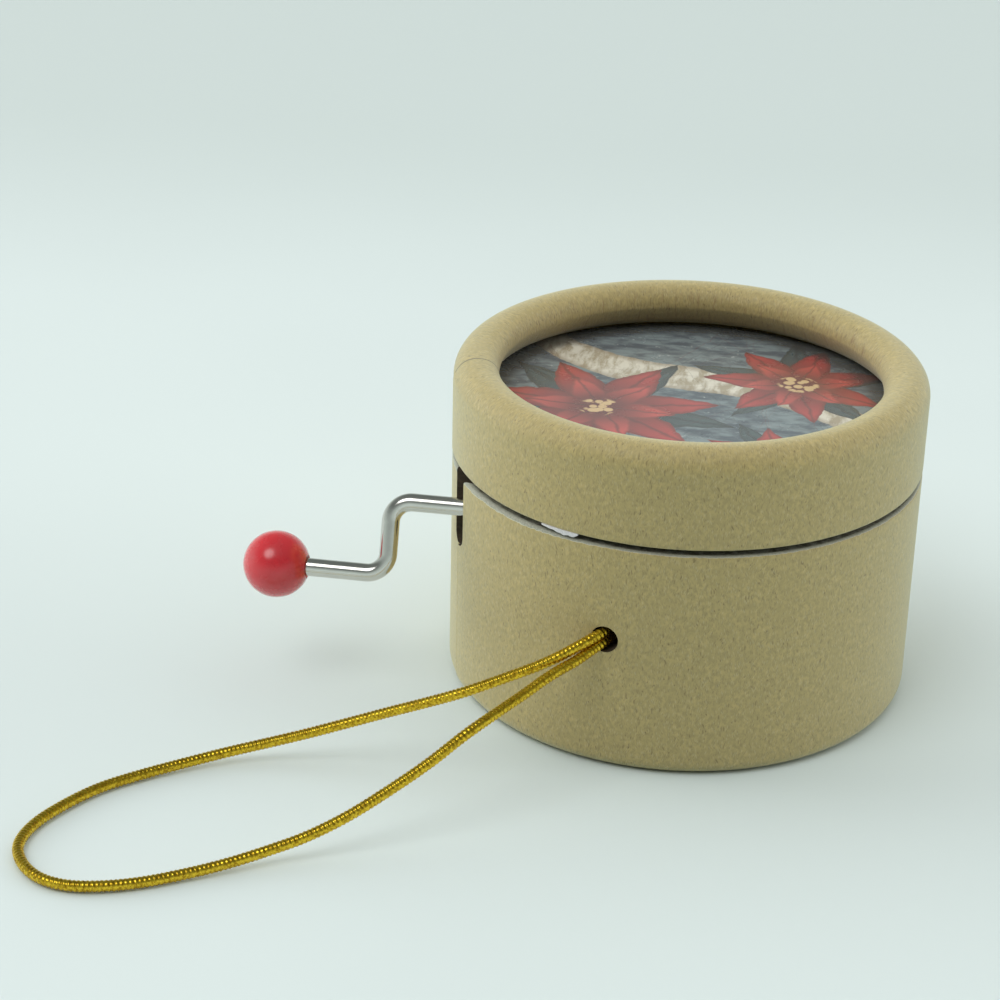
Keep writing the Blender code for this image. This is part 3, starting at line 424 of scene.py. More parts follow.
def kraft_material(name, lap_turn, curled=False, bare_edge=False):
    """Kraft paper: mottled tan, short dark and pale fibres, with painted shade in the groove where
    its wrapping ends.
    """
    material, tree, shader = new_material(name)
    place = surface_place(tree)
    lap_end = (lap_turn + 2 * math.pi) * BOX_RADIUS
    way_round = node(tree, "SeparateXYZ", {0: place}).outputs[0]
    lap_shade = between(tree, way_round, lap_end - LAP_SHADE_START, lap_end - LAP_SHADE_FULL)
    sway = calc(tree, "SUBTRACT", grain(tree, place, scale=700, detail=1.0), 0.5)
    sway = node(tree, "CombineXYZ", {0: calc(tree, "MULTIPLY", sway, KRAFT_SWAY)})
    place = shifted(tree, place, sway.outputs[0])

    mottle = grain(tree, place, scale=2400, detail=3.0, roughness=0.65, stretch=(1.0, 0.6, 1))
    cloud = grain(tree, place, scale=420)
    colour = blend(tree, spread(tree, mottle), scaled(KRAFT, 0.83), scaled(KRAFT, 1.17))
    cloud = between(tree, cloud, 0.35, 0.65, to_high=0.5)
    colour = blend(tree, cloud, colour, scaled(KRAFT, 0.94))
    pale = flecks(tree, place, *PALE_FIBRES)
    colour = blend(tree, calc(tree, "MULTIPLY", pale, PALE_FIBRE_SHOWS), colour, KRAFT_PALE)
    for *fibres, shows in DARK_FIBRES:
        dark = calc(tree, "MULTIPLY", flecks(tree, place, *fibres), shows)
        colour = blend(tree, dark, colour, KRAFT_DARK)
    height = calc(tree, "MULTIPLY_ADD", pale, PALE_FIBRE_RISE, mottle)
    if curled:
        colour, height = curl_creases_and_shade(tree, colour, height)
    if bare_edge:
        colour = edge_strip_and_highlight(tree, colour)
    # painted shade in the groove where the wrapping ends
    lap_shade = calc(tree, "MULTIPLY", lap_shade, LAP_SHADE_SHOWS)
    colour = blend(tree, lap_shade, colour, scaled(KRAFT_DARK, 0.4))
    feed(tree, shader, {
        "Base Color": colour,
        "Roughness": spread(tree, mottle, 0.50, 0.62),
        "Sheen Weight": 0.35,
        "Sheen Roughness": 0.5,
        "Sheen Tint": SHEEN_TINT,
    })
    bump(tree, shader, height, distance=0.00003, strength=0.55)
    return material


def curl_creases_and_shade(tree, colour, height):
    """Short upright creases where the paper is rolled over the rim, with painted shade in them
    and, towards the picture, painted shade warmed by a painted reflection of it.
    """
    x, y, z = node(tree, "SeparateXYZ", {0: solid_place(tree)}).outputs
    start, full = (BOX_RADIUS - share * BEAD_WIDTH for share in CREASE_ACROSS)
    inside = between(tree, hypotenuse(tree, x, y), start, full)
    start, full = (LID_TOP - share * BEAD_DEPTH for share in CREASE_DOWN)
    steep = calc(tree, "MULTIPLY", between(tree, z, start, full), inside)
    crease = grain(tree, surface_place(tree), scale=1900, detail=3.0, roughness=0.6,
                   stretch=(1.0, 0.16, 1))
    crease = calc(tree, "MULTIPLY", between(tree, crease, 0.54, 0.70), steep)
    # painted shade in the creases
    colour = blend(tree, calc(tree, "MULTIPLY", crease, CREASE_SHADE_SHOWS), colour, CURL_SHADE)
    # painted shade at the roll's foot, warm as a painted reflection of the picture
    low = between(tree, z, LID_TOP - FOOT_SHADE_START * BEAD_DEPTH, PICTURE_TOP)
    low = calc(tree, "MULTIPLY", calc(tree, "MULTIPLY", low, inside), FOOT_SHADE_SHOWS)
    colour = blend(tree, low, colour, CURL_SHADE)
    return colour, calc(tree, "MULTIPLY_ADD", crease, CREASE_RISE, height)


def edge_strip_and_highlight(tree, colour):
    """The board's pale cut edge above the paper's, partly painted light for the wall's lit top, a
    wider strip of it at the crank's side, and a painted highlight along the paper's edge.
    """
    place = solid_place(tree)
    x, _, z = node(tree, "SeparateXYZ", {0: place}).outputs
    strip = between(tree, x, *BARE_EDGE_NARROWS, BARE_EDGE_WIDE, BARE_EDGE_THIN)
    ragged = grain(tree, place, scale=1500, detail=3.0, roughness=0.6)
    strip = calc(tree, "MULTIPLY", strip, spread(tree, ragged, 0.75, 1.2))
    depth = calc(tree, "DIVIDE", calc(tree, "SUBTRACT", BASE_HEIGHT, z), strip)
    fibre = grain(tree, place, scale=4200, detail=3.0, roughness=0.7)
    bare = blend(tree, between(tree, fibre, 0.35, 0.65), scaled(BARE_EDGE, 0.7), BARE_EDGE)
    # painted highlight along the paper's rounded edge
    bare = blend(tree, between(tree, depth, *LIP_HIGHLIGHT_FADE), bare, LIP_HIGHLIGHT)
    return blend(tree, between(tree, depth, *BARE_EDGE_FADE), colour, bare)


def board_material(name, light, dark):
    """Raw grey board: felted fibres in thin layers."""
    material, tree, shader = new_material(name)
    place = solid_place(tree)
    layers = grain(tree, place, scale=900, detail=4.0, roughness=0.7, stretch=(1, 1, 2.5))
    fibre = grain(tree, place, scale=5200, detail=3.0, roughness=0.7, distortion=0.6)
    colour = blend(tree, spread(tree, layers), dark, light)
    shows = between(tree, fibre, 0.45, 0.75, to_high=0.4)
    colour = blend(tree, shows, colour, scaled(dark, 0.6))
    feed(tree, shader, {"Base Color": colour, "Roughness": 0.92})
    bump(tree, shader, calc(tree, "ADD", layers, fibre), distance=0.00005, strength=0.8)
    return material


def metal_material(name, colour, dull, roughness, scale, stretch=(1, 1, 1), depth=0.000006):
    """Metal with a faint grain, a little duller in spots."""
    material, tree, shader = new_material(name)
    place = solid_place(tree)
    spots = grain(tree, place, scale * 0.2, detail=3.0, roughness=0.6)
    lines = grain(tree, place, scale, detail=3.0, roughness=0.6, stretch=stretch)
    feed(tree, shader, {
        "Base Color": blend(tree, between(tree, spots, 0.4, 0.75, to_high=0.6), colour, dull),
        "Roughness": spread(tree, lines, roughness * 0.8, roughness * 1.3),
        "Metallic": 1.0,
    })
    bump(tree, shader, lines, depth, strength=0.6)
    return material


def nylon_material():
    material, tree, shader = new_material("nylon")
    cloud = grain(tree, solid_place(tree), scale=400)
    feed(tree, shader, {
        "Base Color": blend(tree, cloud, NYLON_DEEP, NYLON_PALE),
        "Roughness": 0.42,
        "Subsurface Weight": 0.2,
        "Subsurface Radius": (0.0008, 0.0007, 0.0006),
    })
    bump(tree, shader, cloud, distance=0.00001, strength=0.4)
    return material


def red_material():
    """Glossy red lacquer with a faint orange peel."""
    material, tree, shader = new_material("red_gloss")
    place = solid_place(tree)
    depth = grain(tree, place, scale=260)
    peel = grain(tree, place, scale=900)
    feed(tree, shader, {
        "Base Color": blend(tree, depth, scaled(RED, 0.86), scaled(RED, 1.1)),
        "Roughness": spread(tree, peel, 0.20, 0.30),
        "Coat Weight": 0.8,
        "Coat Roughness": 0.22,
    })
    bump(tree, shader, peel, distance=0.00002, strength=0.35)
    return material


def gold_material():
    """Gold thread, wound round: some of its turns are painted brighter, as painted glints, and are
    smoother than others.
    """
    material, tree, shader = new_material("gold_cord")
    place = solid_place(tree)
    turns = grain(tree, place, scale=3200, roughness=0.7)
    feed(tree, shader, {
        # painted glints: the brighter turns are also the smoother ones
        "Base Color": blend(tree, between(tree, turns, 0.30, 0.62), GOLD_DEEP, GOLD),
        "Roughness": spread(tree, turns, 0.38, 0.22),
        "Metallic": 1.0,
    })
    bump(tree, shader, grain(tree, place, scale=6000), distance=0.00002, strength=0.5)
    return material


def torn_material():
    material, tree, shader = new_material("torn_paper")
    fibre = grain(tree, solid_place(tree), scale=2600, detail=3.0, roughness=0.7,
                  stretch=(1, 1, 0.3))
    feed(tree, shader, {
        "Base Color": blend(tree, fibre, scaled(TORN_WHITE, 0.75), TORN_WHITE),
        "Roughness": 0.95,
    })
    bump(tree, shader, fibre, distance=0.00006, strength=0.8)
    return material


def petal(tree, x, y, middle, reach, count, turn, width_share):
    """Pointed petals round a middle: how far inside a petal a point is, how far out and across."""
    from_x = calc(tree, "SUBTRACT", x, middle[0])
    from_y = calc(tree, "SUBTRACT", y, middle[1])
    far = hypotenuse(tree, from_x, from_y)
    angle = calc(tree, "ADD", calc(tree, "ARCTAN2", from_y, from_x), turn)
    sector = 2 * math.pi / count
    local = calc(tree, "SUBTRACT", calc(tree, "FLOORED_MODULO", angle, sector), sector / 2)
    along = calc(tree, "MULTIPLY", far, calc(tree, "COSINE", local))
    along = calc(tree, "DIVIDE", along, reach)
    across = calc(tree, "MULTIPLY", far, calc(tree, "SINE", local))
    across = calc(tree, "ABSOLUTE", calc(tree, "DIVIDE", across, reach))
    kept = calc(tree, "MINIMUM", calc(tree, "MAXIMUM", along, 0.0), 1.0)
    half = calc(tree, "MULTIPLY", calc(tree, "POWER", kept, PETAL_POINT), math.pi)
    half = calc(tree, "MULTIPLY", calc(tree, "SINE", half), width_share)
    return calc(tree, "SUBTRACT", half, across), kept, across


def painted_petals(tree, x, y, colour, middle, reach, count, turn, width_share, deep, bright):
    """Lay one ring of petals over a colour, dark at the heart and along each petal's vein."""
    inside, along, across = petal(tree, x, y, middle, reach, count, turn, width_share)
    shade = blend(tree, between(tree, along, 0.15, 0.95), deep, bright)
    vein = between(tree, across, VEIN_HALF, 0.0, to_high=0.7)
    shade = blend(tree, vein, shade, scaled(deep, 0.8))
    edge = between(tree, inside, 0.0, PETAL_EDGE, 0.55, 0.0)
    shade = blend(tree, edge, shade, scaled(deep, 0.5))
    return blend(tree, between(tree, inside, -PETAL_SOFT, PETAL_SOFT), colour, shade)


def painted_ribbon(tree, x, y, drawn, colour):
    """Lay a waving ribbon over a colour, with folds across it and darker at both its edges."""
    wave = calc(tree, "SINE", calc(tree, "MULTIPLY", x, RIBBON_WAVES))
    wave = calc(tree, "MULTIPLY", wave, RIBBON_SWING)
    centre = calc(tree, "ADD", calc(tree, "MULTIPLY", x, RIBBON_SLOPE), wave)
    off = calc(tree, "SUBTRACT", calc(tree, "SUBTRACT", y, RIBBON_RISE), centre)
    off = calc(tree, "ABSOLUTE", off)
    folds = grain(tree, drawn, scale=380, detail=3.0, roughness=0.6, stretch=(2.6, 0.7, 1))
    cream = blend(tree, between(tree, folds, 0.35, 0.62), RIBBON_FOLD, RIBBON_CREAM)
    edge = between(tree, off, *RIBBON_EDGE_FADE, to_high=0.65)
    cream = blend(tree, edge, cream, RIBBON_EDGE)
    return blend(tree, between(tree, off, *RIBBON_FADE), colour, cream)


def print_material():
    """A glossy print of red winter flowers, navy leaves and a cream ribbon on blue grey."""
    material, tree, shader = new_material("print")
    place = solid_place(tree)
    brush = node(tree, "TexNoise", {"Vector": place, "Scale": 420.0, "Detail": 3.0})
    wobble = node(tree, "VectorMath", {0: brush.outputs["Color"], 1: (0.5, 0.5, 0.5)},
                  operation="SUBTRACT").outputs[0]
    wobble = node(tree, "VectorMath", {0: wobble, 3: BRUSH_WOBBLE}, operation="SCALE").outputs[0]
    drawn = shifted(tree, place, wobble)
    x, y, _ = node(tree, "SeparateXYZ", {0: drawn}).outputs

    strokes = grain(tree, place, scale=330, detail=4.0, roughness=0.6, stretch=(1, 2.2, 1))
    colour = blend(tree, between(tree, strokes, 0.35, 0.65), GROUND_DARK, GROUND_PALE)
    snow = grain(tree, place, scale=900, detail=3.0, roughness=0.7)
    colour = blend(tree, between(tree, snow, 0.62, 0.72, to_high=0.6), colour, SNOW)
    colour = painted_ribbon(tree, x, y, drawn, colour)

    dots = node(tree, "TexVoronoi", {"Vector": place, "Scale": 900.0}).outputs["Distance"]
    dots = between(tree, dots, 0.55, 0.40)
    for middle, reach, turn in FLOWERS:
        for size, count, ring_turn, width_share, deep, bright in FLOWER_RINGS:
            colour = painted_petals(tree, x, y, colour, middle, reach * size, count,
                                    turn + ring_turn, width_share, deep, bright)
        heart = node(tree, "VectorMath", {0: drawn, 1: (*middle, PICTURE_TOP)},
                     operation="DISTANCE").outputs["Value"]
        heart = between(tree, heart, *HEART_FADE)
        colour = blend(tree, calc(tree, "MULTIPLY", heart, dots), colour, BERRY)

    # painted shadow at the print's edge, under the rolled rim
    rim = between(tree, hypotenuse(tree, x, y), *PRINT_RIM_SHADOW_FADE, to_high=0.75)
    colour = blend(tree, rim, colour, PRINT_RIM_SHADOW)
    # a painted pale reflection, lifting the whole print
    colour = blend(tree, PRINT_REFLECTION_SHOWS, colour, PRINT_REFLECTION)
    feed(tree, shader, {
        "Base Color": colour,
        "Roughness": spread(tree, brush.outputs[0], 0.20, 0.28),
        "Coat Weight": 1.0,
        "Coat Roughness": 0.25,
        "Coat IOR": 1.7,
    })
    bump(tree, shader, grain(tree, place, scale=75), distance=0.0002, strength=0.3)
    return material


def add_object(name, data):
    made = bpy.data.objects.new(name, data)
    bpy.context.scene.collection.objects.link(made)
    return made


def smooth(mesh, degrees=SMOOTH_DEGREES):
    mesh.shade_smooth()
    mesh.set_sharp_from_angle(angle=math.radians(degrees))


def piece(name, bm, looks, body, degrees=SMOOTH_DEGREES):
    """A shown piece of the object, riding on a body."""
    mesh = bpy.data.meshes.new(name)
    bm.to_mesh(mesh)
    bm.free()
    for look in looks:
        mesh.materials.append(look)
    smooth(mesh, degrees)
    made = add_object(name, mesh)
    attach(made, body)
    return made


def arc(centre, radius, start, end, steps):
    """Points on an arc, in degrees; radius is one value, or one along each axis."""
    wide, high = radius if isinstance(radius, tuple) else (radius, radius)
    points = []
    for step in range(steps + 1):
        angle = math.radians(start + (end - start) * step / steps)
        points.append((centre[0] + wide * math.cos(angle), centre[1] + high * math.sin(angle)))
    return points


def wrapped(stretches, start, lap_above):
    """Turn a section of stretches, each a list of points and its look, round the box's axis.

    The section closes itself. The wrapping starts at a turn, where points further out than
    lap_above stand a paper's thickness proud, and they come down over LAP_FADE. The map holds
    metres.
    """
    outline, looks = [], []
    for points, look in stretches:
        outline += points
        looks += [look] * len(points)
    lengths = [0.0]
    for near, far in zip(outline, outline[1:] + outline[:1]):
        lengths.append(lengths[-1] + math.dist(near, far))
    end = start + 2 * math.pi
    turns = [start + 2 * math.pi * step / ROUND_STEPS for step in range(ROUND_STEPS)]
    turns += [end - LAP_GROOVE_TURN * share for share in LAP_GROOVE_SHARES]
    turns += [end - LAP_STEP]

    bm = bmesh.new()
    layer = bm.loops.layers.uv.new("place")
    rings = []
    for turn in turns:
        proud = PAPER * max(0.0, 1 - (turn - start) / LAP_FADE)
        proud -= LAP_GROOVE * max(0.0, 1 - (end - turn) / LAP_GROOVE_TURN)
        ring = []
        for radius, height in outline:
            radius += proud if radius > lap_above else 0
            ring.append(bm.verts.new((radius * math.cos(turn), radius * math.sin(turn), height)))
        rings.append(ring)
    count = len(outline)
    for index, ring in enumerate(rings):
        after = rings[(index + 1) % len(rings)]
        left = turns[index] * BOX_RADIUS
        right = (turns[index + 1] if index + 1 < len(turns) else end) * BOX_RADIUS
        for side in range(count):
            following = (side + 1) % count
            face = bm.faces.new((ring[side], after[side], after[following], ring[following]))
            face.material_index = looks[side]
            low, high = lengths[side], lengths[side + 1]
            corners = ((left, low), (right, low), (right, high), (left, high))
            for loop, place in zip(face.loops, corners):
                loop[layer].uv = place
    bmesh.ops.recalc_face_normals(bm, faces=bm.faces)
    return bm


def upright(radius, low, high, steps):
    """Points up a wall, so that a cut through it leaves small faces."""
    return [(radius, low + (high - low) * step / steps) for step in range(steps + 1)]


def cutter(outline, low, high, look, place):
    """A prism to cut with: an outline in X and Y from low to high along Z, then placed."""
    bm = bmesh.new()
    face = bm.faces.new([bm.verts.new((x, y, low)) for x, y in outline])
    top = bmesh.ops.extrude_face_region(bm, geom=[face])
    raised = [item for item in top["geom"] if isinstance(item, bmesh.types.BMVert)]
    bmesh.ops.translate(bm, verts=raised, vec=(0, 0, high - low))
    bmesh.ops.recalc_face_normals(bm, faces=bm.faces)
    bm.transform(place)
    mesh = bpy.data.meshes.new("cutter")
    for face in bm.faces:
        face.material_index = look
    bm.to_mesh(mesh)
    bm.free()
    return add_object("cutter", mesh)


def carve(target, tools):
    """Cut the tools out of a piece, and remove them."""
    for tool in tools:
        for look in target.data.materials:
            tool.data.materials.append(look)
        cut = target.modifiers.new("cut", "BOOLEAN")
        cut.operation = "DIFFERENCE"
        cut.object = tool
    seen = target.evaluated_get(bpy.context.evaluated_depsgraph_get())
    mesh = bpy.data.meshes.new_from_object(seen)
    target.modifiers.clear()
    target.data = mesh
    smooth(mesh)
    for tool in tools:
        bpy.data.objects.remove(tool)


def make_camera():
    forward = CAMERA_FORWARD.normalized()
    level = forward.cross(Vector((0, 0, 1))).normalized()
    above = level.cross(forward)
    right = level * math.cos(CAMERA_ROLL) + above * math.sin(CAMERA_ROLL)
    up = above * math.cos(CAMERA_ROLL) - level * math.sin(CAMERA_ROLL)
    data = bpy.data.cameras.new("camera")
    data.sensor_width = SENSOR_WIDTH
    data.lens = FOCAL_PX * SENSOR_WIDTH / IMAGE_WIDTH_PX
    data.clip_start = CAMERA_CLIP_START
    camera = add_object("camera", data)
    axes = Matrix((right, up, -forward)).transposed().to_4x4()
    camera.matrix_world = Matrix.Translation(CAMERA_PLACE) @ axes
    bpy.context.scene.camera = camera


def smooth_route(points, spacing):
    """Points at an even spacing along one smooth curve through the route's points."""
    route = [Vector(point) for point in points]
    route = [2 * route[0] - route[1]] + route + [2 * route[-1] - route[-2]]
    fine = []
    for before, start, end, after in zip(route, route[1:], route[2:], route[3:]):
        for step in range(ROUTE_STEPS):
            t = step / ROUTE_STEPS
            doubled = (2 * start + (end - before) * t
                       + (2 * before - 5 * start + 4 * end - after) * t**2
                       + (3 * start - before - 3 * end + after) * t**3)
            fine.append(doubled / 2)
    fine.append(route[-2])
    lengths = [0.0]
    for start, end in zip(fine, fine[1:]):
        lengths.append(lengths[-1] + (end - start).length)
    count = round(lengths[-1] / spacing)
    even = []
    index = 0
    for step in range(count + 1):
        distance = lengths[-1] * step / count
        while index < len(fine) - 2 and lengths[index + 1] < distance:
            index += 1
        share = (distance - lengths[index]) / (lengths[index + 1] - lengths[index])
        even.append(fine[index].lerp(fine[index + 1], share))
    return even


def ribbed_tube(points, closed=False):
    """The cord's surface along points: thread wound round it in fine slanting ribs."""
    bm = bmesh.new()
    rings = []
    side = Vector((0, 0, 1))
    count = len(points)
    for index, point in enumerate(points):
        before = points[(index - 1) % count] if closed or index else point
        after = points[(index + 1) % count] if closed or index + 1 < count else point
        along = (after - before).normalized()
        side = (side - along * side.dot(along)).normalized()
        other = along.cross(side)
        ring = []
        for step in range(CORD_SIDES):
            angle = 2 * math.pi * step / CORD_SIDES
            wave = math.cos(2 * math.pi * index / RIB_RINGS - angle)
            radius = CORD_DIAMETER / 2 - RIB_DEPTH * (0.5 - 0.5 * wave)
            out = math.cos(angle) * side + math.sin(angle) * other
            ring.append(bm.verts.new(point + radius * out))
        rings.append(ring)
    pairs = list(zip(rings, rings[1:]))
    if closed:
        pairs.append((rings[-1], rings[0]))
    for ring, after in pairs:
        for step in range(CORD_SIDES):
            following = (step + 1) % CORD_SIDES
            bm.faces.new((ring[step], ring[following], after[following], after[step]))
    if not closed:
        bm.faces.new(rings[0])
        bm.faces.new(rings[-1])
    bmesh.ops.recalc_face_normals(bm, faces=bm.faces)
    return bm


def through_hole(distance):
    """A place in the cord's hole at a distance from the box's axis, with Z out along the hole."""
    return (Matrix.Rotation(CORD_HOLE_TURN, 4, "Z")
            @ Matrix.Translation((distance, 0, CORD_HOLE_HEIGHT))
            @ Matrix.Rotation(math.pi / 2, 4, "Y"))


def make_cord(gold):
    """The hanging loop, and the knot inside the collar that keeps its ends in."""
    along = through_hole(KNOT_FACE - KNOT_LENGTH / 2)
    wide = (KNOT_RADIUS - CORD_DIAMETER / 2) / 3
    high = (KNOT_LENGTH - CORD_DIAMETER) / 2
    points = []
    for step in range(KNOT_STEPS):
        turn = 2 * math.pi * step / KNOT_STEPS
        points.append(along @ Vector((
            wide * (math.sin(turn) + 2 * math.sin(2 * turn)),
            wide * (math.cos(turn) - 2 * math.cos(2 * turn)),
            high * math.sin(3 * turn),
        )))
    knot = piece("cord_knot", ribbed_tube(points, closed=True), [gold], "base")
    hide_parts("loop_knot")

    points = smooth_route(CORD_ROUTE, RIB_PITCH / RIB_RINGS)
    cord = piece("gold_cord_loop", ribbed_tube(points), [gold], "base",
                 CORD_SMOOTH_DEGREES)
    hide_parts("hanging_loop")


def make_base(kraft, board, lining):
    """The base's tube, wrapped in paper outside, with the crank's slot and the cord's hole."""
    outside = arc((BOX_RADIUS - FOOT_ROUND, FOOT_ROUND), FOOT_ROUND, -90, 0, FOOT_STEPS)
    outside += upright(BOX_RADIUS, FOOT_ROUND, BASE_HEIGHT - EDGE_ROUND, WALL_STEPS)[1:]
    outside += arc((BOX_RADIUS - EDGE_ROUND, BASE_HEIGHT - EDGE_ROUND), EDGE_ROUND,
                   0, EDGE_DEGREES, EDGE_STEPS)[1:]
    stretches = [
        (outside, PAPER_LOOK),
        ([(BOX_RADIUS - EDGE_ROUND - PAPER, BASE_HEIGHT), (WALL_BORE, BASE_HEIGHT)], BOARD_LOOK),
        ([(WALL_BORE, 0)], PAPER_LOOK),
    ]
    section = wrapped(stretches, BASE_LAP_TURN, BOX_RADIUS - EDGE_ROUND / 2)
    tube = piece("base_wall", section, [kraft, board, lining], "base")

    rim = BASE_HEIGHT - CRANK.z
    bottom = SLOT_HALF - SLOT_BELOW_CRANK
    above = rim + FOOT_ROUND
    wide = SLOT_HALF + SLOT_CORNER
    outline = (
        arc((0, bottom), SLOT_HALF, 180, 360, SLOT_STEPS)
        + arc((wide, rim - SLOT_CORNER), SLOT_CORNER, 180, 90, SLOT_CORNER_STEPS)
        + [(wide, above), (-wide, above)]
        + arc((-wide, rim - SLOT_CORNER), SLOT_CORNER, 90, 0, SLOT_CORNER_STEPS)
    )
    along_crank = (Matrix.Translation((0, CRANK.y, CRANK.z))
                   @ Matrix.Rotation(-math.pi / 2, 4, "Z") @ Matrix.Rotation(math.pi / 2, 4, "X"))
    slot = cutter(outline, BOX_RADIUS / 2, BOX_RADIUS + WALL, HOLE_LOOK, along_crank)
    outline = arc((0, 0), CORD_HOLE_RADIUS, 0, 360, HOLE_STEPS)[:-1]
    hole = cutter(outline, BOX_RADIUS / 2, BOX_RADIUS + WALL, HOLE_LOOK, through_hole(0))
    carve(tube, [slot, hole])
    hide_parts("base_tube")


def make_lid(kraft, board):
    """The lid's tube, its paper rolled in over a thick rim."""
    half = BEAD_WIDTH / 2
    middle = (BOX_RADIUS - half, LID_TOP - BEAD_DEPTH / 2)
    tuck = half * BEAD_TUCK_SHARE
    outside = arc((BOX_RADIUS - EDGE_ROUND, LID_Z + EDGE_ROUND), EDGE_ROUND,
                  -EDGE_DEGREES, 0, EDGE_STEPS)
    outside += upright(BOX_RADIUS, LID_Z + EDGE_ROUND, middle[1], LID_WALL_STEPS)[1:]
    outside += arc(middle, (half, BEAD_DEPTH / 2), 0, 90, BEAD_OUTER_STEPS)[1:]
    for step in range(1, BEAD_INNER_STEPS + 1):
        angle = math.pi / 2 * step / BEAD_INNER_STEPS
        inward = (half + BEAD_INNER_REACH) * math.sin(angle) ** (2 / BEAD_INNER_POWER)
        up = BEAD_DEPTH / 2 * math.cos(angle) ** (2 / BEAD_INNER_POWER)
        outside.append((middle[0] - inward, middle[1] + up))
    outside += arc(middle, (half - tuck, BEAD_DEPTH / 2), BEAD_TUCK_DEGREES, 270, BEAD_TUCK_STEPS)
    stretches = [
        (outside, PAPER_LOOK),
        ([(WALL_BORE, LID_TOP - BEAD_DEPTH)], PAPER_LOOK),
        ([(WALL_BORE, LID_Z), (BOX_RADIUS - EDGE_ROUND - PAPER, LID_Z)], BOARD_LOOK),
    ]
    section = wrapped(stretches, LID_LAP_TURN, BOX_RADIUS - EDGE_ROUND / 2)
    tube = piece("lid_wall", section, [kraft, board], "lid")
    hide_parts("lid_tube")


def make_tear(torn):
    """A bit of the lid's paper, torn at its lower edge, hanging white into the seam."""
    bm = bmesh.new()
    outer = BOX_RADIUS + PAPER / 2
    inner = outer - TEAR_THICK
    (left_share, left_rise), (right_share, right_rise) = TEAR_RISES
    columns = []
    for step in range(TEAR_STEPS + 1):
        share = step / TEAR_STEPS
        turn = TEAR_START + (TEAR_END - TEAR_START) * share
        first, second = (wave * share for wave in TEAR_WAVES)
        drop = TEAR_DROP * (TEAR_MIDDLE + TEAR_RAGGED * math.sin(first) * math.cos(second))
        drop *= min(1, left_share + left_rise * share)
        drop *= min(1, right_share + right_rise * (1 - share))
        section = ((outer, TEAR_ABOVE), (outer, -drop), (inner, -TEAR_BACK_SHARE * drop),
                   (inner, TEAR_ABOVE))
        column = []
        for radius, height in section:
            place = (radius * math.cos(turn), radius * math.sin(turn), LID_Z + height)
            column.append(bm.verts.new(place))
        columns.append(column)
    for column, after in zip(columns, columns[1:]):
        for side in range(len(column)):
            following = (side + 1) % len(column)
            bm.faces.new((column[side], after[side], after[following], column[following]))
    bm.faces.new(columns[0])
    bm.faces.new(columns[-1])
    bmesh.ops.recalc_face_normals(bm, faces=bm.faces)
    piece("torn_paper", bm, [torn], "lid")


def filleted(corners, radius, steps):
    """Round the inner corners of a polyline."""
    points = [corners[0]]
    for before, corner, after in zip(corners, corners[1:], corners[2:]):
        back = (before - corner).normalized()
        on = (after - corner).normalized()
        half = back.angle(on) / 2
        centre = corner + (back + on).normalized() * (radius / math.sin(half))
        first = corner + back * (radius / math.tan(half)) - centre
        last = corner + on * (radius / math.tan(half)) - centre
        for step in range(steps + 1):
            points.append(centre + radius * first.slerp(last, step / steps).normalized())
    points.append(corners[-1])
    return points


def make_crank(nickel, red):
    """The bent wire and its knob."""
    swing = Matrix.Rotation(-CRANK_REST, 3, "X")
    down = swing @ Vector((0, 0, -CRANK_ARM))
    wall = math.sqrt(BOX_RADIUS**2 - CRANK.y**2)
    knob_low, knob_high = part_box("crank_knob")
    knob_middle = (knob_low + knob_high) / 2
    inner_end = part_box("crank_wire")[1].x
    outer_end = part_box("crank_wire")[0].x
    corners = [
        Vector((inner_end, CRANK.y, CRANK.z)),
        Vector((-wall - CRANK_REACH, CRANK.y, CRANK.z)),
        Vector((-wall - CRANK_REACH, CRANK.y, CRANK.z)) + down,
        Vector((outer_end, CRANK.y, CRANK.z)) + down,
    ]
    curve = bpy.data.curves.new("wire", "CURVE")
    curve.dimensions = "3D"
    curve.bevel_depth = WIRE_RADIUS
    curve.bevel_resolution = WIRE_BEVEL_STEPS
    curve.use_fill_caps = True
    spline = curve.splines.new("POLY")
    points = filleted(corners, CRANK_BEND, WIRE_BEND_STEPS)
    spline.points.add(len(points) - 1)
    for target, point in zip(spline.points, points):
        target.co = (*point, 1)
    spline.use_smooth = True
    curve.materials.append(nickel)
    wire = add_object("bent_wire", curve)
    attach(wire, "crank")
    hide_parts("crank_wire")

    mouth = math.degrees(math.asin((KNOB_MOUTH + KNOB_LIP) / KNOB_RADIUS))
    lip = math.sqrt(KNOB_RADIUS**2 - (KNOB_MOUTH + KNOB_LIP) ** 2)
    outline = [(KNOB_MOUTH, lip - KNOB_BORE_DEPTH), (KNOB_MOUTH, lip - KNOB_LIP)]
    outline += arc((0, 0), KNOB_RADIUS, 90 - mouth, KNOB_END_DEGREES, KNOB_ARC_STEPS)
    bm = bmesh.new()
    rings = []
    for step in range(KNOB_STEPS):
        turn = 2 * math.pi * step / KNOB_STEPS
        across, aside = math.cos(turn), math.sin(turn)
        rings.append([bm.verts.new((r * across, r * aside, z)) for r, z in outline])
    for ring, after in zip(rings, rings[1:] + rings[:1]):
        for side in range(len(outline) - 1):
            bm.faces.new((ring[side], after[side], after[side + 1], ring[side + 1]))
    bm.faces.new([ring[0] for ring in rings])
    bm.faces.new([ring[-1] for ring in rings])
    bmesh.ops.recalc_face_normals(bm, faces=bm.faces)
    bm.transform(Matrix.Translation(knob_middle) @ Matrix.Rotation(math.pi / 2, 4, "Y"))
    knob = piece("red_knob", bm, [red], "crank")
    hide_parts("crank_knob")


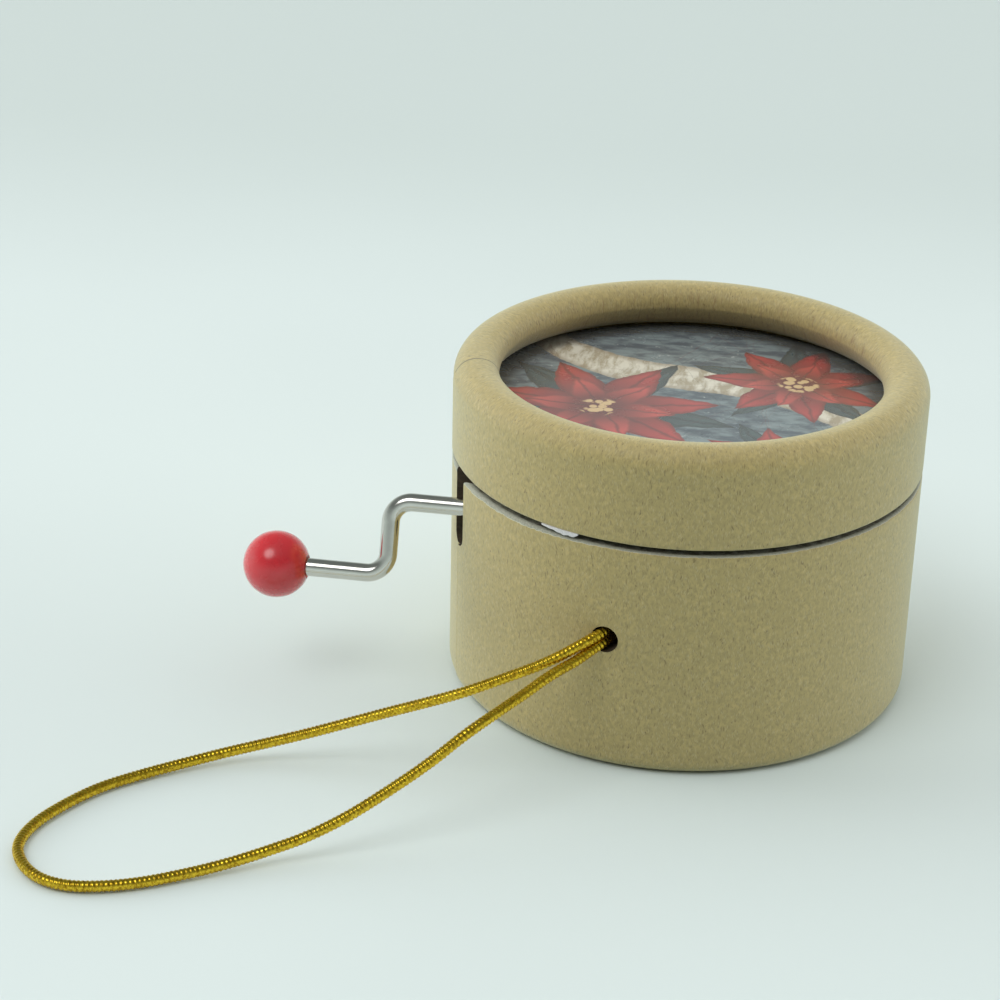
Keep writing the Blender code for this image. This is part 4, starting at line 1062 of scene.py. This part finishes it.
def dress_frame(board, collar, printed):
    """Give the CAD pieces that stay their materials."""
    zinc = metal_material("zinc", ZINC, ZINC_DULL, roughness=0.42, scale=2600, depth=0.00002)
    steel = metal_material("steel", STEEL, STEEL_DULL, roughness=0.26, scale=2400,
                           stretch=(1, 6, 1))
    brass = metal_material("brass", BRASS, BRASS_DULL, roughness=0.28, scale=2000)
    nylon = nylon_material()
    looks = {
        "base_collar": collar, "base_disc": board, "lid_board": board, "picture_disc": printed,
        "bedplate": zinc, "crank_bracket": steel, "comb": steel, "crank_clip": steel,
        "cylinder_arbor": steel, "cylinder_drum": brass, "cylinder_gear": nylon,
        "cylinder_end_cap": nylon, "crank_worm": nylon,
    }
    for name, thing in frame["nodes"].items():
        if "screw" in name:
            looks[name] = steel
        if name in looks:
            thing.data.materials.clear()
            thing.data.materials.append(looks[name])


def make_floor():
    """A pale flat sheet that the box stands on, a little greyer far behind it in painted shade."""
    material, tree, shader = new_material("floor")
    place = solid_place(tree)
    cloud = spread(tree, grain(tree, place, scale=9))
    near = blend(tree, cloud, scaled(FLOOR, 0.985), scaled(FLOOR, 1.015))
    # painted shade far behind the box
    far = between(tree, node(tree, "SeparateXYZ", {0: place}).outputs[1], *FLOOR_FAR_SHADE_FADE)
    feed(tree, shader, {
        "Base Color": blend(tree, far, near, FLOOR_FAR_SHADE),
        "Roughness": 0.75,
        "Specular IOR Level": 0.15,
    })
    mesh = bpy.data.meshes.new("floor")
    corners = [(x * FLOOR_HALF, y * FLOOR_HALF, FLOOR_HEIGHT)
               for x, y in ((-1, -1), (1, -1), (1, 1), (-1, 1))]
    mesh.from_pydata(corners, [], [(0, 1, 2, 3)])
    mesh.materials.append(material)
    floor = add_object("floor", mesh)


def make_light():
    """A soft light from the front left above, in a room bright above and low at both sides."""
    data = bpy.data.lights.new("key", "AREA")
    data.shape = "DISK"
    data.size = KEY_SIZE
    data.energy = KEY_POWER
    key = add_object("key", data)
    towards = KEY_TOWARDS.normalized()
    key.location = towards * KEY_DISTANCE
    key.rotation_euler = towards.to_track_quat("Z", "Y").to_euler()

    world = bpy.data.worlds.new("room")
    world.use_nodes = True
    tree = world.node_tree
    tree.nodes.clear()
    direction = node(tree, "SeparateXYZ", {0: node(tree, "TexCoord").outputs["Generated"]})
    x, y, z = direction.outputs
    level_part = calc(tree, "MAXIMUM", hypotenuse(tree, x, y), LEAST_LEVEL_PART)
    backward = calc(tree, "DIVIDE", y, level_part)
    aside = between(tree, backward, *ROOM_ASIDE_FADE)
    behind = between(tree, backward, *ROOM_BEHIND_FADE, 1.0, ROOM_BEHIND_SHARE)
    low = between(tree, z, *ROOM_LOW_FADE, ROOM_SIDES, 0.0)
    lean = calc(tree, "MULTIPLY_ADD", x, -ROOM_LEFT_LEAN, 1.0)
    sides = calc(tree, "MULTIPLY", aside, behind)
    sides = calc(tree, "MULTIPLY", sides, calc(tree, "MULTIPLY", low, lean))
    above = between(tree, z, *ROOM_ABOVE_FADE, ROOM_LEVEL, ROOM_LEVEL + ROOM_ABOVE)
    lit = node(tree, "Background", {0: ROOM_TINT, 1: calc(tree, "ADD", sides, above)})
    ray = node(tree, "LightPath")
    camera_ray = ray.outputs["Is Camera Ray"]
    mirrored = between(tree, z, *MIRRORED_FADE, MIRRORED_BELOW, MIRRORED_ABOVE)
    shown = calc(tree, "MAXIMUM", camera_ray, mirrored)
    shown = node(tree, "Background", {0: (*BACKDROP, 1), 1: shown})
    seen = calc(tree, "MAXIMUM", ray.outputs["Is Glossy Ray"], ray.outputs["Is Transmission Ray"])
    seen = calc(tree, "MAXIMUM", camera_ray, seen)
    mixed = node(tree, "MixShader", {0: seen, 1: lit.outputs[0], 2: shown.outputs[0]})
    output = tree.nodes.new("ShaderNodeOutputWorld")
    tree.links.new(mixed.outputs[0], output.inputs[0])
    bpy.context.scene.world = world


def main():
    bpy.context.scene.view_settings.view_transform = "Standard"
    make_camera()
    make_cord(gold_material())
    kraft = kraft_material("kraft", BASE_LAP_TURN, bare_edge=True)
    board = board_material("grey_board", BOARD, BOARD_DARK)
    lining = board_material("hole_edge", LINING, scaled(LINING, 0.5))
    make_base(kraft, board, lining)
    make_lid(kraft_material("kraft_rolled", LID_LAP_TURN, curled=True), board)
    make_tear(torn_material())
    nickel = metal_material("nickel", NICKEL, scaled(NICKEL, 0.86), roughness=0.16, scale=1400,
                            stretch=(0.1, 1, 1))
    make_crank(nickel, red_material())
    dress_frame(board, board_material("collar_board", COLLAR, COLLAR_DARK), print_material())
    make_floor()
    make_light()


main()
